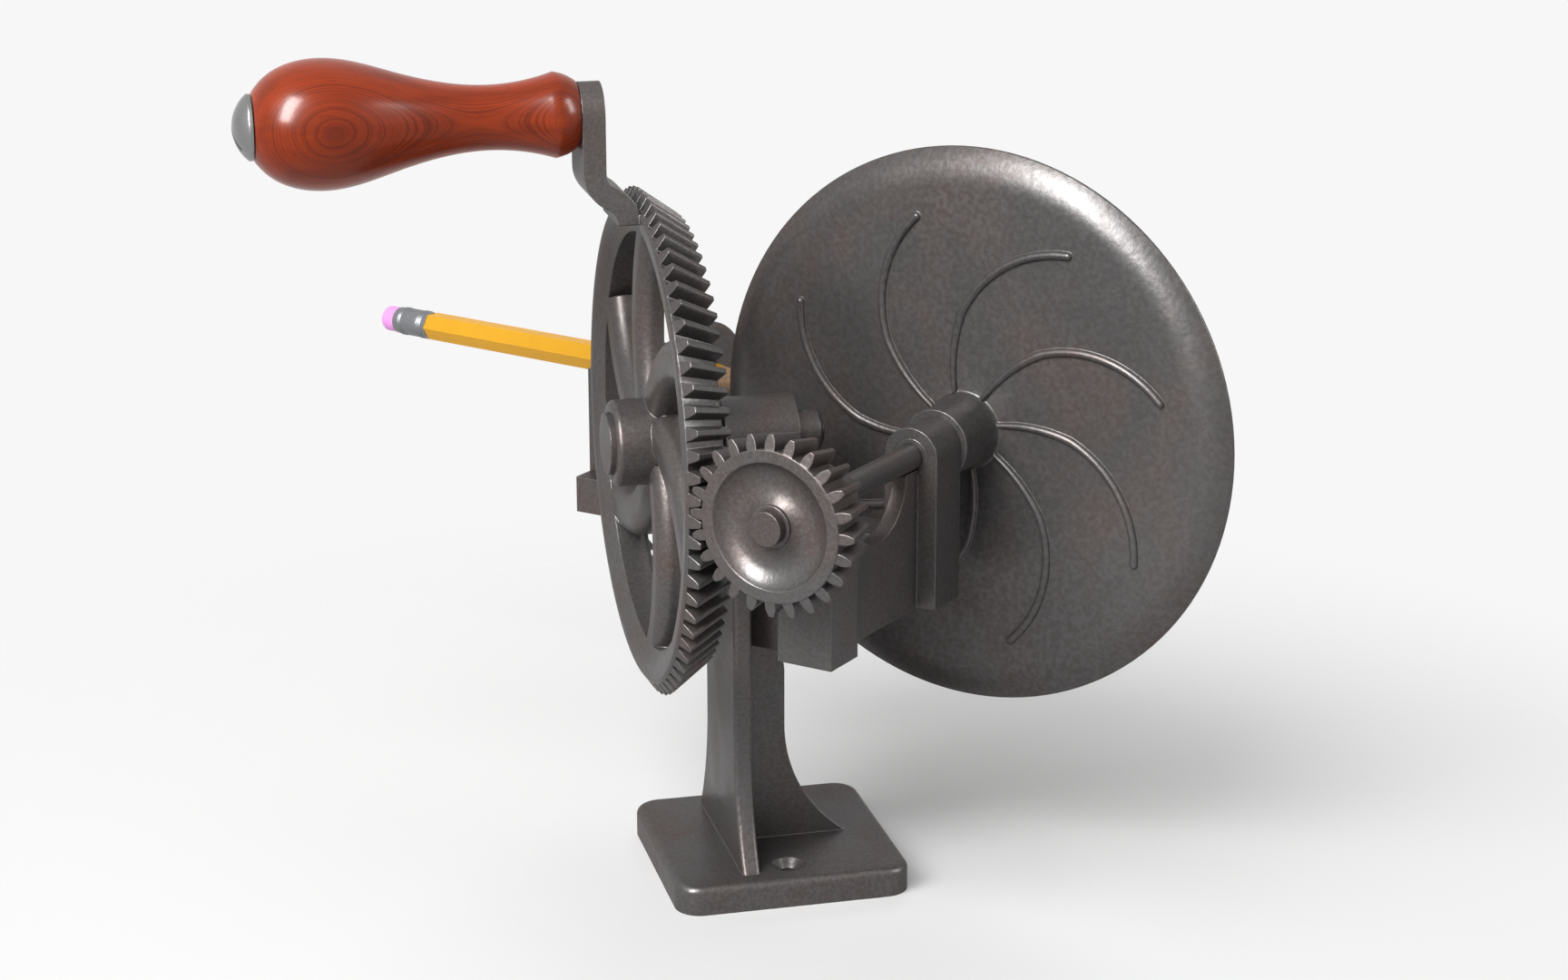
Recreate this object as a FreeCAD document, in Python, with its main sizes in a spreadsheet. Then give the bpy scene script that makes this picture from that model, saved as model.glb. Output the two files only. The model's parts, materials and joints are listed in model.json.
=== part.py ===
"""Crank pencil sharpener: a hand-cranked bevel gear drives an abrasive disc that points a pencil.

Millimetres. +Z is up, the origin is the centre of the base's underside, +X runs along the base's
front edge and +Y leads away from the front. The crank axle lies along X. The disc shaft lies level,
turned from X by the shaft angle, and the two axes cross at the gears' common apex.
"""
import FreeCAD
import Part
import Sketcher
import math
import os

SIZES = {
    # Stand: base plate, T-section post and axle boss.
    "base_side": 64.7,
    "base_height": 8.0,
    "base_corner": 7.0,
    "base_edge": 2.0,
    "screw_spacing": 44.0,
    "screw_hole_radius": 2.4,
    "countersink_radius": 4.6,
    "cut_over": 1.0,
    "flange_set": 8.8,
    "flange_thickness": 5.0,
    "flange_half_width": 17.2,
    "flange_foot_half_width": 27.0,
    "flange_edge": 1.2,
    "shoulder_drop": 19.6,
    "foot_height": 33.0,
    "web_thickness": 6.0,
    "web_reach": 3.6,
    "web_foot_reach": 21.0,
    "web_gap": 10.6,
    "web_round": 15.0,
    "web_room": 0.4,
    "axis_height": 123.6,
    "boss_radius": 10.4,
    "boss_length": 20.1,
    # Bevel gears, whose pitch cones share one apex.
    "rim_set": 34.55,
    "shaft_angle": 45.0,
    "gear_teeth": 74,
    "pinion_teeth": 24,
    "cone_distance": 116.7,
    "face_width": 12.6,
    "pressure_angle": 17.0,
    "backlash": 0.2,
    "tooth_margin": 0.3,
    "heel_step": 0.08,
    "rim_front_inset": 0.6,
    "rim_ring_width": 3.1,
    "rim_chamfer_depth": 2.5,
    "rim_lip": 1.6,
    "hub_radius": 11.5,
    "hub_front": 43.0,
    "hub_edge": 1.5,
    "hub_recess_radius": 8.3,
    "hub_recess_depth": 1.2,
    "hub_tail_radius": 9.5,
    "hub_taper": 2.0,
    "spoke_count": 6,
    "spoke_width": 12.5,
    "spoke_front": 34.0,
    "spoke_back": 27.0,
    "spoke_round": 4.5,
    "spoke_bulge": 7.2,
    "spoke_start_angle": 40.0,
    "spoke_sweep": 48.0,
    "pinion_nose": 0.15,
    "dish_radius": 16.2,
    "dish_depth": 3.2,
    "pinion_pad_radius": 5.3,
    "pinion_pad_set": 0.6,
    "pinion_pad_height": 0.9,
    "pinion_hub_radius": 9.0,
    "pinion_hub_length": 3.9,
    "pinion_pin_radius": 1.0,
    # Crank arm, cast on the gear's rim.
    "arm_reach": 24.6,
    "arm_thickness": 6.0,
    "arm_offset": 8.4,
    "arm_rise": 13.1,
    "arm_root_inset": 0.2,
    "arm_root_length": 0.2,
    "arm_root_half_width": 10.5,
    "arm_end_radius": 8.2,
    "arm_sink": 0.5,
    # Axle and its fittings.
    "axle_radius": 3.8,
    "bush_wall": 1.5,
    "running_clearance": 0.05,
    "end_play": 0.1,
    "axle_head_radius": 6.8,
    "axle_head_length": 3.4,
    "washer_thickness": 1.2,
    "washer_radius": 8.0,
    "collar_radius": 5.6,
    "collar_length": 7.4,
    "collar_edge": 0.8,
    "axle_tail": 0.8,
    "pin_radius": 1.4,
    "collar_pin_radius": 0.9,
    # Handle.
    "grip_length": 81.5,
    "grip_gap": 0.3,
    "spindle_radius": 4.0,
    "rivet_radius": 3.2,
    "grip_shoulder_radius": 8.6,
    "grip_collar_radius": 11.0,
    "grip_collar_at": 5.6,
    "grip_collar_bulge": 0.4,
    "grip_throat_radius": 9.35,
    "grip_throat_at": 11.8,
    "grip_neck_radius": 8.28,
    "grip_neck_at": 23.0,
    "grip_swell_radius": 12.2,
    "grip_swell_at": 45.1,
    "grip_belly_radius": 16.5,
    "grip_belly_at": 62.6,
    "grip_cheek_radius": 14.4,
    "grip_cheek_at": 74.9,
    "grip_end_radius": 8.6,
    "cap_radius": 8.35,
    "cap_length": 4.9,
    "cap_rim": 1.0,
    "cap_slot_width": 1.4,
    "cap_slot_depth": 2.0,
    # Bearing frame.
    "shaft_radius": 3.4,
    "shaft_head_radius": 4.4,
    "shaft_head_length": 2.6,
    "frame_drop": 41.0,
    "rear_pillar_at": 44.3,
    "pillar_depth": 13.2,
    "pillar_half_width": 7.75,
    "wall_thickness": 4.4,
    "wall_top_drop": 1.0,
    "window_radius": 14.3,
    "window_drop": 3.0,
    "shaft_room": 0.4,
    "tie_front": 54.0,
    "tie_width": 13.0,
    "tie_height": 21.4,
    "gusset_start": 12.0,
    "gusset_knee": 32.0,
    "gusset_drop": 16.0,
    "seat_thickness": 6.0,
    "seat_near": 6.0,
    "seat_far": 13.0,
    "seat_below": 6.6,
    "seat_height": 32.0,
    "bracket_width": 7.0,
    "bracket_reach": 46.0,
    "bracket_lap": 7.6,
    "block_height": 10.5,
    "block_near": 74.0,
    "block_far": 123.2,
    "block_front": 20.0,
    "block_depth": 32.0,
    "frame_screw_radius": 2.2,
    "frame_screw_head_radius": 4.0,
    "frame_screw_head": 2.4,
    "frame_screw_grip": 5.0,
    "frame_screw_rise": 1.4,
    "frame_screw_spacing": 16.0,
    # Grinding disc and its fittings.
    "disc_radius": 76.2,
    "disc_face": 10.4,
    "disc_thickness": 4.2,
    "disc_rim_width": 9.7,
    "disc_edge": 0.6,
    "disc_hub_radius": 9.5,
    "disc_hub_flare": 7.0,
    "rib_count": 8,
    "rib_width": 2.3,
    "rib_outer_radius": 58.8,
    "rib_inner_radius": 15.0,
    "rib_inner_angle": 46.0,
    "rib_sagitta": 11.3,
    "rib_first_angle": 30.0,
    "paper_thickness": 0.5,
    "paper_inset": 0.8,
    "clamp_radius": 14.0,
    "clamp_thickness": 1.6,
    "nut_across_flats": 11.0,
    "nut_height": 4.8,
    "shaft_tail": 1.8,
    # Pencil guide.
    "arch_radius": 12.4,
    "arch_depth": 12.5,
    "guide_tube_radius": 7.5,
    "guide_flange_radius": 15.8,
    "guide_flange_thickness": 4.5,
    "guide_flange_edge": 1.6,
    "guide_flange_at": 30.0,
    "pencil_clearance": 0.3,
    "guide_screw_radius": 1.8,
    "guide_screw_head_radius": 3.5,
    "guide_screw_grip": 9.0,
    "guide_screw_spacing": 15.0,
    # Pencil.
    "pencil_flats": 7.5,
    "pencil_length": 162.3,
    "pencil_tilt": 8.5,
    "pencil_drop": 1.3,
    "tip_reach": 56.5,
    "tip_rise": 1.55,
    "tip_gap": 0.25,
    "lead_radius": 1.0,
    "ferrule_length": 14.0,
    "ferrule_radius": 4.3,
    "ferrule_wall": 0.5,
    "ferrule_grip": 4.5,
    "eraser_show": 5.5,
    "eraser_round": 1.2,
}

doc = FreeCAD.newDocument("crank_pencil_sharpener")
sheet = doc.addObject("Spreadsheet::Sheet", "sizes")
for row, (alias, number) in enumerate(SIZES.items(), start=1):
    sheet.set("A%d" % row, alias)
    sheet.set("B%d" % row, str(number))
    sheet.setAlias("B%d" % row, alias)
doc.recompute()


class Term:
    """A size and the expression that gives it, so that it can be both computed with and bound."""

    def __init__(self, text, value):
        self.text = text
        self.value = value

    def __float__(self):
        return float(self.value)

    def __add__(self, other):
        return joined(self, "+", other)

    def __radd__(self, other):
        return joined(other, "+", self)

    def __sub__(self, other):
        return joined(self, "-", other)

    def __rsub__(self, other):
        return joined(other, "-", self)

    def __mul__(self, other):
        return joined(self, "*", other)

    def __rmul__(self, other):
        return joined(other, "*", self)

    def __truediv__(self, other):
        return joined(self, "/", other)

    def __rtruediv__(self, other):
        return joined(other, "/", self)

    def __neg__(self):
        return joined(0, "-", self)


def as_term(value):
    """A plain number as a term, or the term itself."""
    if isinstance(value, Term):
        return value
    return Term("(%.9f)" % value, float(value))


def joined(first, sign, second):
    """Two terms joined by an arithmetic sign."""
    first, second = as_term(first), as_term(second)
    results = {
        "+": first.value + second.value,
        "-": first.value - second.value,
        "*": first.value * second.value,
        "/": first.value / second.value if second.value else 0.0,
    }
    return Term("(%s %s %s)" % (first.text, sign, second.text), results[sign])


def larger(first, second):
    """The larger of two terms."""
    first, second = as_term(first), as_term(second)
    return Term("max(%s; %s)" % (first.text, second.text), max(first.value, second.value))


def size(name):
    """A size of the sheet as a term."""
    return Term("sizes." + name, float(sheet.get(name)))


def bind(feature, path, value):
    """Binds a property of a feature to a term."""
    feature.setExpression(path, as_term(value).text)


def vector(*parts):
    """A vector from three terms or numbers."""
    return FreeCAD.Vector(*[float(part) for part in parts])


# Directions: the disc shaft's way to the disc, the level way across it, and up.
UP = FreeCAD.Vector(0, 0, 1)
turn = math.radians(float(size("shaft_angle")))
ALONG_COS = math.cos(turn)
ALONG_SIN = math.sin(turn)
ALONG = FreeCAD.Vector(ALONG_COS, ALONG_SIN, 0)
ACROSS = FreeCAD.Vector(-ALONG_SIN, ALONG_COS, 0)


class Bevel:
    """The measures of one gear of the bevel pair, in a frame with the apex at its origin."""

    def __init__(self, teeth, other_teeth):
        shaft = math.radians(float(size("shaft_angle")))
        self.teeth = int(round(teeth))
        self.angle = math.atan2(math.sin(shaft), other_teeth / teeth + math.cos(shaft))
        self.heel = float(size("cone_distance"))
        self.toe = self.heel - float(size("face_width"))
        self.pitch_radius = self.heel * math.sin(self.angle)
        self.module = 2 * self.pitch_radius / self.teeth
        self.addendum = self.module
        self.dedendum = 1.2 * self.module

    def place(self, distance, height, aside=0.0, azimuth=0.0):
        """A point at a cone distance and a height over the pitch cone, both at the heel's scale."""
        scale = distance / self.heel
        radius = math.sin(self.angle) * distance + math.cos(self.angle) * height * scale
        rise = -math.cos(self.angle) * distance + math.sin(self.angle) * height * scale
        cosine, sine = math.cos(azimuth), math.sin(azimuth)
        shift = aside * scale
        return FreeCAD.Vector(radius * cosine - shift * sine, radius * sine + shift * cosine, rise)

    def flank(self):
        """Half of a tooth's section at the heel: (aside, height) from below the root to the tip."""
        pressure = math.radians(float(size("pressure_angle")))
        virtual = self.pitch_radius / math.cos(self.angle)
        base = virtual * math.cos(pressure)
        half_pitch = (math.pi * self.module / 2 - float(size("backlash"))) / 2 / virtual
        involute = math.tan(pressure) - pressure
        sunk = self.dedendum + float(size("tooth_margin"))
        points = []
        for height in (-sunk, -self.dedendum * 0.5, 0.0, self.addendum * 0.5, self.addendum * 0.94):
            radius = virtual + height
            local = math.acos(min(base / radius, 1.0))
            half = half_pitch + involute - (math.tan(local) - local)
            points.append((radius * math.sin(half), radius * math.cos(half) - virtual))
        widest = points[-1][0]
        points.append((widest - 0.06 * self.module, self.addendum))
        return points

    def tooth(self, azimuth):
        """One tooth: a section at the heel drawn in to the toe along lines through the apex."""
        half = self.flank()
        section = half + [(-aside, height) for aside, height in reversed(half)]
        heel = [self.place(self.heel, height, aside, azimuth) for aside, height in section]
        toe = [self.place(self.toe, height, aside, azimuth) for aside, height in section]
        count = len(section)
        walls = [Part.Face(Part.makePolygon(heel + heel[:1])), Part.Face(Part.makePolygon(toe + toe[:1]))]
        for index in range(count):
            after = (index + 1) % count
            corners = [heel[index], heel[after], toe[after], toe[index], heel[index]]
            walls.append(Part.Face(Part.makePolygon(corners)))
        return Part.makeSolid(Part.makeShell(walls))

    def toothed(self, blank, first):
        """A blank with its ring of teeth, the first at an azimuth."""
        step = 2 * math.pi / self.teeth
        teeth = [self.tooth(first + step * index) for index in range(self.teeth)]
        solid = blank.multiFuse(teeth)
        return solid.removeSplitter().Solids[0]

    def root(self, distance):
        """Radius and height of the tooth root at a cone distance."""
        point = self.place(distance, -self.dedendum)
        return point.x, point.z


def spun(corners):
    """A solid turned round Z from (radius, height) corners."""
    points = [FreeCAD.Vector(radius, 0, height) for radius, height in corners]
    face = Part.Face(Part.makePolygon(points + points[:1]))
    return face.revolve(FreeCAD.Vector(), UP, 360)


gear = Bevel(float(size("gear_teeth")), float(size("pinion_teeth")))
pinion = Bevel(float(size("pinion_teeth")), float(size("gear_teeth")))
tooth_margin = float(size("tooth_margin"))
heel_step = float(size("heel_step"))


class Axis:
    """A line that pieces turn about: a point, a direction, and the rotation that takes Z to it."""

    def __init__(self, point, direction, sideways, upright):
        self.point = point
        self.direction = direction
        self.rotation = FreeCAD.Rotation(sideways, upright, direction, "ZXY")

    def seat(self, feature, start):
        """Places a feature whose own Z runs along the axis, starting at a distance from the point."""
        feature.Placement = FreeCAD.Placement(FreeCAD.Vector(), self.rotation)
        for name, origin, slope in zip("xyz", self.point, self.direction):
            bind(feature, "Placement.Base." + name, origin + start * slope)

    def at(self, start):
        """The point of the axis at a distance from its own point."""
        return vector(*self.point) + self.direction * float(start)


EAST = FreeCAD.Vector(1, 0, 0)
NORTH = FreeCAD.Vector(0, 1, 0)
axis_height = size("axis_height")
apex_reach = size("cone_distance") * math.cos(gear.angle) - size("rim_set")
rim_outer_radius = gear.root(gear.heel + heel_step)[0] - float(size("rim_front_inset")) / math.tan(gear.angle)
rim_inner_radius = gear.root(gear.toe - tooth_margin)[0] - float(size("rim_lip"))
crank_radius = rim_outer_radius + size("arm_reach")
crank_axis = Axis((0, 0, axis_height), EAST, NORTH, UP)
crank_apex = Axis((apex_reach, 0, axis_height), EAST, NORTH, UP)
handle_axis = Axis((0, 0, axis_height + crank_radius), EAST, NORTH, UP)
shaft_axis = Axis((apex_reach, 0, axis_height), ALONG, ACROSS, UP)


def on_plan(across, along):
    """The X and Y of a point given by its distances across and along the disc shaft."""
    return (
        apex_reach + along * ALONG_COS - across * ALONG_SIN,
        along * ALONG_SIN + across * ALONG_COS,
    )


def pencil_line():
    """The pencil's axis, from its tip on the disc's abrasive face outwards."""
    tilt = math.radians(float(size("pencil_tilt")))
    drop = math.radians(float(size("pencil_drop")))
    outwards = ACROSS * math.cos(tilt) + ALONG * math.sin(tilt)
    direction = outwards * math.cos(drop) - UP * math.sin(drop)
    sideways = UP.cross(direction).normalize()
    face = size("paper_thickness") + size("tip_gap") - size("disc_face")
    x, y = on_plan(size("tip_reach"), face)
    return Axis((x, y, axis_height + size("tip_rise")), direction, sideways, direction.cross(sideways))


pencil_axis = pencil_line()


def origin_plane(body, role):
    """One of a body's own origin planes, such as XY_Plane."""
    return [plane for plane in body.Origin.OriginFeatures if plane.Role == role][0]


def arc_between(start, end, radius):
    """The lesser arc from start to end, counter-clockwise for a positive radius."""
    if radius < 0:
        start, end, radius = end, start, -radius
    chord = end - start
    half = chord.Length / 2
    aside = FreeCAD.Vector(-chord.y, chord.x, 0).normalize()
    centre = (start + end) * 0.5 + aside * math.sqrt(max(radius * radius - half * half, 0.0))
    first = math.atan2(start.y - centre.y, start.x - centre.x)
    last = math.atan2(end.y - centre.y, end.x - centre.x)
    return Part.ArcOfCircle(Part.Circle(centre, UP, radius), first, last)


def outline(body, plane, steps, offset=0):
    """A closed outline on a body's plane, with every corner bound to the sheet.

    A step is a corner (x, y), with a straight side to the next corner, or (x, y, radius), with an
    arc to it that turns left for a positive radius and right for a negative one.
    """
    sketch = body.newObject("Sketcher::SketchObject", body.Name + "_outline")
    sketch.AttachmentSupport = [(origin_plane(body, plane), "")]
    sketch.MapMode = "FlatFace"
    bind(sketch, "AttachmentOffset.Base.z", offset)
    corners = [vector(step[0], step[1], 0) for step in steps]
    ends = []
    for index, step in enumerate(steps):
        following = corners[(index + 1) % len(corners)]
        if len(step) == 2:
            sketch.addGeometry(Part.LineSegment(corners[index], following))
            ends.append((1, 2))
        else:
            radius = float(step[2])
            sketch.addGeometry(arc_between(corners[index], following, radius))
            ends.append((1, 2) if radius > 0 else (2, 1))
    for index, step in enumerate(steps):
        after = (index + 1) % len(steps)
        sketch.addConstraint(Sketcher.Constraint("Coincident", index, ends[index][1], after, ends[after][0]))
        for kind, axis_number, place in (("DistanceX", -2, step[0]), ("DistanceY", -1, step[1])):
            if isinstance(place, Term):
                datum = Sketcher.Constraint(kind, -1, 1, index, ends[index][0], float(place))
                number = sketch.addConstraint(datum)
                bind(sketch, "Constraints[%d]" % number, place)
            else:
                sketch.addConstraint(Sketcher.Constraint("PointOnObject", index, ends[index][0], axis_number))
        if len(step) == 3:
            number = sketch.addConstraint(Sketcher.Constraint("Radius", index, abs(float(step[2]))))
            bind(sketch, "Constraints[%d]" % number, step[2] if float(step[2]) > 0 else -step[2])
    return sketch


def ring(body, plane, centre, radius, offset=0):
    """A circle on a body's plane, bound to the sheet."""
    sketch = body.newObject("Sketcher::SketchObject", body.Name + "_circle")
    sketch.AttachmentSupport = [(origin_plane(body, plane), "")]
    sketch.MapMode = "FlatFace"
    bind(sketch, "AttachmentOffset.Base.z", offset)
    sketch.addGeometry(Part.Circle(vector(centre[0], centre[1], 0), UP, float(radius)))
    bound = [("Radius", radius)]
    number = sketch.addConstraint(Sketcher.Constraint("Radius", 0, float(radius)))
    bind(sketch, "Constraints[%d]" % number, bound[0][1])
    for kind, axis_number, place in (("DistanceX", -2, centre[0]), ("DistanceY", -1, centre[1])):
        if isinstance(place, Term):
            number = sketch.addConstraint(Sketcher.Constraint(kind, -1, 1, 0, 3, float(place)))
            bind(sketch, "Constraints[%d]" % number, place)
        else:
            sketch.addConstraint(Sketcher.Constraint("PointOnObject", 0, 3, axis_number))
    return sketch


def new_body(label):
    """An empty body with a label of its own."""
    body = doc.addObject("PartDesign::Body", label)
    body.Label = label
    return body


def pad(body, sketch, length, midplane=False):
    """Pads a sketch by a length, to both sides alike if midplane is set."""
    feature = body.newObject("PartDesign::Pad", body.Name + "_pad")
    feature.Profile = sketch
    feature.Midplane = midplane
    bind(feature, "Length", length)
    return feature


def revolve(body, sketch):
    """Turns a sketch round its upright axis."""
    feature = body.newObject("PartDesign::Revolution", body.Name + "_turn")
    feature.Profile = sketch
    feature.ReferenceAxis = (sketch, ["V_Axis"])
    feature.Angle = 360
    return feature


def turned(label, axis, start, steps):
    """A body turned round an axis from an outline of (radius, distance) corners."""
    body = new_body(label)
    revolve(body, outline(body, "XZ_Plane", steps))
    axis.seat(body, as_term(start))
    return body


def soften(body, kind, amount, wanted):
    """Fillets or chamfers the edges of a body's tip that a test picks."""
    doc.recompute()
    tip = body.Tip
    names = ["Edge%d" % (place + 1) for place, edge in enumerate(tip.Shape.Edges) if wanted(edge)]
    feature = body.newObject("PartDesign::" + kind, body.Name + "_" + kind.lower())
    feature.Base = (tip, names)
    bind(feature, "Radius" if kind == "Fillet" else "Size", amount)
    return feature


def cylinder(label, radius, length, axis, start):
    """A plain cylinder along an axis."""
    feature = doc.addObject("Part::Cylinder", label)
    bind(feature, "Radius", radius)
    bind(feature, "Height", length)
    axis.seat(feature, as_term(start))
    return feature


def upright_pin(label, radius, length, axis, place):
    """A pin that stands across a level axis, centred on it."""
    centre = [origin + place * slope for origin, slope in zip(axis.point, axis.direction)]
    feature = doc.addObject("Part::Cylinder", label)
    bind(feature, "Radius", radius)
    bind(feature, "Height", length)
    bind(feature, "Placement.Base.x", centre[0])
    bind(feature, "Placement.Base.y", centre[1])
    bind(feature, "Placement.Base.z", centre[2] - length / 2)
    return feature


def box(label, low, high):
    """A box between two corners."""
    feature = doc.addObject("Part::Box", label)
    for name, letter, near, far in zip(("Length", "Width", "Height"), "xyz", low, high):
        bind(feature, name, far - near)
        bind(feature, "Placement.Base." + letter, near)
    return feature


def fused(label, features):
    """One solid of several features."""
    feature = doc.addObject("Part::MultiFuse", label)
    feature.Shapes = features
    feature.Refine = True
    return feature


def cut(label, base, tools):
    """A feature with others taken out of it."""
    tool = tools[0] if len(tools) == 1 else fused(label + "_tools", tools)
    feature = doc.addObject("Part::Cut", label)
    feature.Base = base
    feature.Tool = tool
    return feature


def shaped(label, shape, axis=None, start=0):
    """A feature that holds a computed shape."""
    feature = doc.addObject("Part::Feature", label)
    feature.Shape = shape
    if axis:
        axis.seat(feature, as_term(start))
    return feature


# Places along the crank axis, measured in X from the origin.
flange_right = -size("flange_set")
flange_left = flange_right - size("flange_thickness")
boss_end = flange_left + size("boss_length")
axle_bush_radius = size("axle_radius") + size("bush_wall")
washer_left = flange_left - size("end_play") - size("washer_thickness")
hub_face = -size("hub_front")
hub_recess_floor = hub_face + size("hub_recess_depth")
collar_left = boss_end + size("end_play")
collar_right = collar_left + size("collar_length")
axle_end = collar_right + size("axle_tail")

# Places along the shaft axis, measured from the gears' apex towards the disc.
shaft_bush_radius = size("shaft_radius") + size("bush_wall")
pinion_toe = as_term(pinion.root(pinion.toe - tooth_margin)[1])
pinion_back = pinion_toe + size("pinion_hub_length")
front_pillar = pinion_back + size("end_play")
front_pillar_back = front_pillar + size("pillar_depth")
rear_pillar = -size("rear_pillar_at")
rear_pillar_back = rear_pillar + size("pillar_depth")
disc_hub_front = rear_pillar_back + size("end_play")
disc_face = -size("disc_face")
disc_front = disc_face - size("disc_thickness")
paper_face = disc_face + size("paper_thickness")
clamp_face = paper_face + size("clamp_thickness")
nut_face = clamp_face + size("nut_height")
shaft_end = nut_face + size("shaft_tail")
frame_bottom = axis_height - size("frame_drop")
block_top = frame_bottom + size("block_height")


def gear_front():
    """Height of the flat front ring of the gear's rim, from the apex."""
    return gear.root(gear.heel + heel_step)[1] - float(size("rim_front_inset"))


def gear_rim():
    """The gear's toothed rim, with a gap between teeth where the pinion's tooth comes in."""
    heel_radius, heel_height = gear.root(gear.heel + heel_step)
    toe_radius, toe_height = gear.root(gear.toe - tooth_margin)
    front = gear_front()
    inner = rim_inner_radius
    corners = [
        (heel_radius, heel_height),
        (rim_outer_radius, front),
        (rim_outer_radius - float(size("rim_ring_width")), front),
        (inner, front + float(size("rim_chamfer_depth"))),
        (inner, toe_height - (toe_radius - inner) * math.tan(gear.angle)),
        (toe_radius, toe_height),
    ]
    return gear.toothed(spun(corners), math.pi + math.pi / gear.teeth)


def gear_spokes():
    """Curved spokes with rounded front edges, each an arc from hub to rim, which ends inside the rim's lip."""
    inner = float(size("hub_radius")) * 0.8
    outer = rim_inner_radius + float(size("rim_lip"))
    back = -float(size("spoke_back")) - float(apex_reach)
    first = math.radians(180 + float(size("spoke_start_angle")))
    last = first + math.radians(float(size("spoke_sweep")))
    near = FreeCAD.Vector(inner * math.cos(first), inner * math.sin(first), back)
    far = FreeCAD.Vector(outer * math.cos(last), outer * math.sin(last), back)
    chord = far - near
    bulge = float(size("spoke_bulge"))
    radius = (chord.Length ** 2 / 4 + bulge ** 2) / (2 * bulge)
    aside = UP.cross(chord).normalize()
    centre = (near + far) * 0.5 + aside * (radius - bulge)
    inwards = (near - centre).normalize()
    half_width = float(size("spoke_width")) / 2
    depth = float(size("spoke_front") - size("spoke_back"))
    edge = min(float(size("spoke_round")), 0.9 * half_width, 0.9 * depth)
    slant = edge * (1 - math.sqrt(0.5))
    corner = [(half_width, 0), (half_width, depth - edge), (half_width - slant, depth - slant), (half_width - edge, depth)]
    left = [near + inwards * aside_by - UP * rise for aside_by, rise in corner]
    right = [near - inwards * aside_by - UP * rise for aside_by, rise in corner]
    section = Part.Face(Part.Wire([
        Part.makeLine(left[0], left[1]),
        Part.Arc(left[1], left[2], left[3]).toShape(),
        Part.makeLine(left[3], right[3]),
        Part.Arc(right[3], right[2], right[1]).toShape(),
        Part.makeLine(right[1], right[0]),
        Part.makeLine(right[0], left[0]),
    ]))
    sweep = math.degrees((near - centre).getAngle(far - centre))
    reach = rim_inner_radius + float(size("rim_lip")) / 2
    room = Part.makeCylinder(reach, depth + 2 * float(over), FreeCAD.Vector(0, 0, back - depth - float(over)))
    spoke = section.revolve(centre, UP, sweep).common(room)
    count = int(round(float(size("spoke_count"))))
    spokes = []
    for index in range(count):
        copy = spoke.copy()
        copy.rotate(FreeCAD.Vector(), UP, 360.0 * index / count)
        spokes.append(copy)
    return Part.makeCompound(spokes)


# Stand.
stand_body = new_body("stand_casting")
half_side = size("base_side") / 2
base_height = size("base_height")
pad(stand_body, outline(stand_body, "XY_Plane", [
    (-half_side, -half_side),
    (half_side, -half_side),
    (half_side, half_side),
    (-half_side, half_side),
]), base_height)
soften(stand_body, "Fillet", size("base_corner"), lambda edge: abs(edge.tangentAt(edge.FirstParameter).z) > 0.9)
soften(stand_body, "Fillet", size("base_edge"),
       lambda edge: abs(edge.BoundBox.ZMin - float(base_height)) < 1e-6)
flare_top = base_height + size("foot_height")
flange_flare = size("flange_foot_half_width") - size("flange_half_width")
flange_flare_radius = (size("foot_height") * size("foot_height") + flange_flare * flange_flare) / (2 * flange_flare)
sunk = base_height - size("base_edge")
flange_half = size("flange_half_width")
flange_foot = size("flange_foot_half_width")
boss_tangent = size("boss_radius") * 0.9
flange_shoulder = axis_height - size("shoulder_drop")
pad(stand_body, outline(stand_body, "YZ_Plane", [
    (-flange_foot, sunk),
    (flange_foot, sunk),
    (flange_foot, base_height, -flange_flare_radius),
    (flange_half, flare_top),
    (flange_half, flange_shoulder),
    (boss_tangent, axis_height),
    (-boss_tangent, axis_height),
    (-flange_half, flange_shoulder),
    (-flange_half, flare_top, -flange_flare_radius),
    (-flange_foot, base_height),
], offset=flange_left), size("flange_thickness"))
soften(stand_body, "Fillet", size("flange_edge"), lambda edge: edge.BoundBox.ZMin > float(flare_top) - 0.001
       and edge.BoundBox.ZMax < float(flange_shoulder) + 0.001 and edge.BoundBox.ZLength > 1)
web_flare = size("web_foot_reach") - size("web_reach")
web_flare_radius = (size("foot_height") * size("foot_height") + web_flare * web_flare) / (2 * web_flare)
web_left = flange_right - size("flange_thickness") / 2
web_top = frame_bottom - size("web_gap")
pad(stand_body, outline(stand_body, "XZ_Plane", [
    (web_left, sunk),
    (size("web_foot_reach"), sunk),
    (size("web_foot_reach"), base_height, -web_flare_radius),
    (size("web_reach"), flare_top),
    (size("web_reach"), web_top - size("web_round"), size("web_round") * 1.1),
    (flange_right, web_top),
    (web_left, web_top),
]), size("web_thickness"), midplane=True)
pad(stand_body, ring(stand_body, "YZ_Plane", (0, axis_height), size("boss_radius"), offset=flange_left),
    size("boss_length"))

over = size("cut_over")
axle_bore = cylinder("axle_bore", axle_bush_radius, size("boss_length") + over * 2, crank_axis, flange_left - over)
screw_tools = []
for side in (-1, 1):
    place = size("screw_spacing") * (side / 2)
    hole = doc.addObject("Part::Cylinder", "base_hole")
    bind(hole, "Radius", size("screw_hole_radius"))
    bind(hole, "Height", base_height + over * 2)
    bind(hole, "Placement.Base.y", place)
    bind(hole, "Placement.Base.z", -over)
    sink = doc.addObject("Part::Cone", "base_countersink")
    sink_depth = size("countersink_radius") - size("screw_hole_radius")
    bind(sink, "Radius1", size("screw_hole_radius"))
    bind(sink, "Radius2", size("countersink_radius"))
    bind(sink, "Height", sink_depth)
    bind(sink, "Placement.Base.y", place)
    bind(sink, "Placement.Base.z", base_height - sink_depth)
    screw_tools += [hole, sink]


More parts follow.
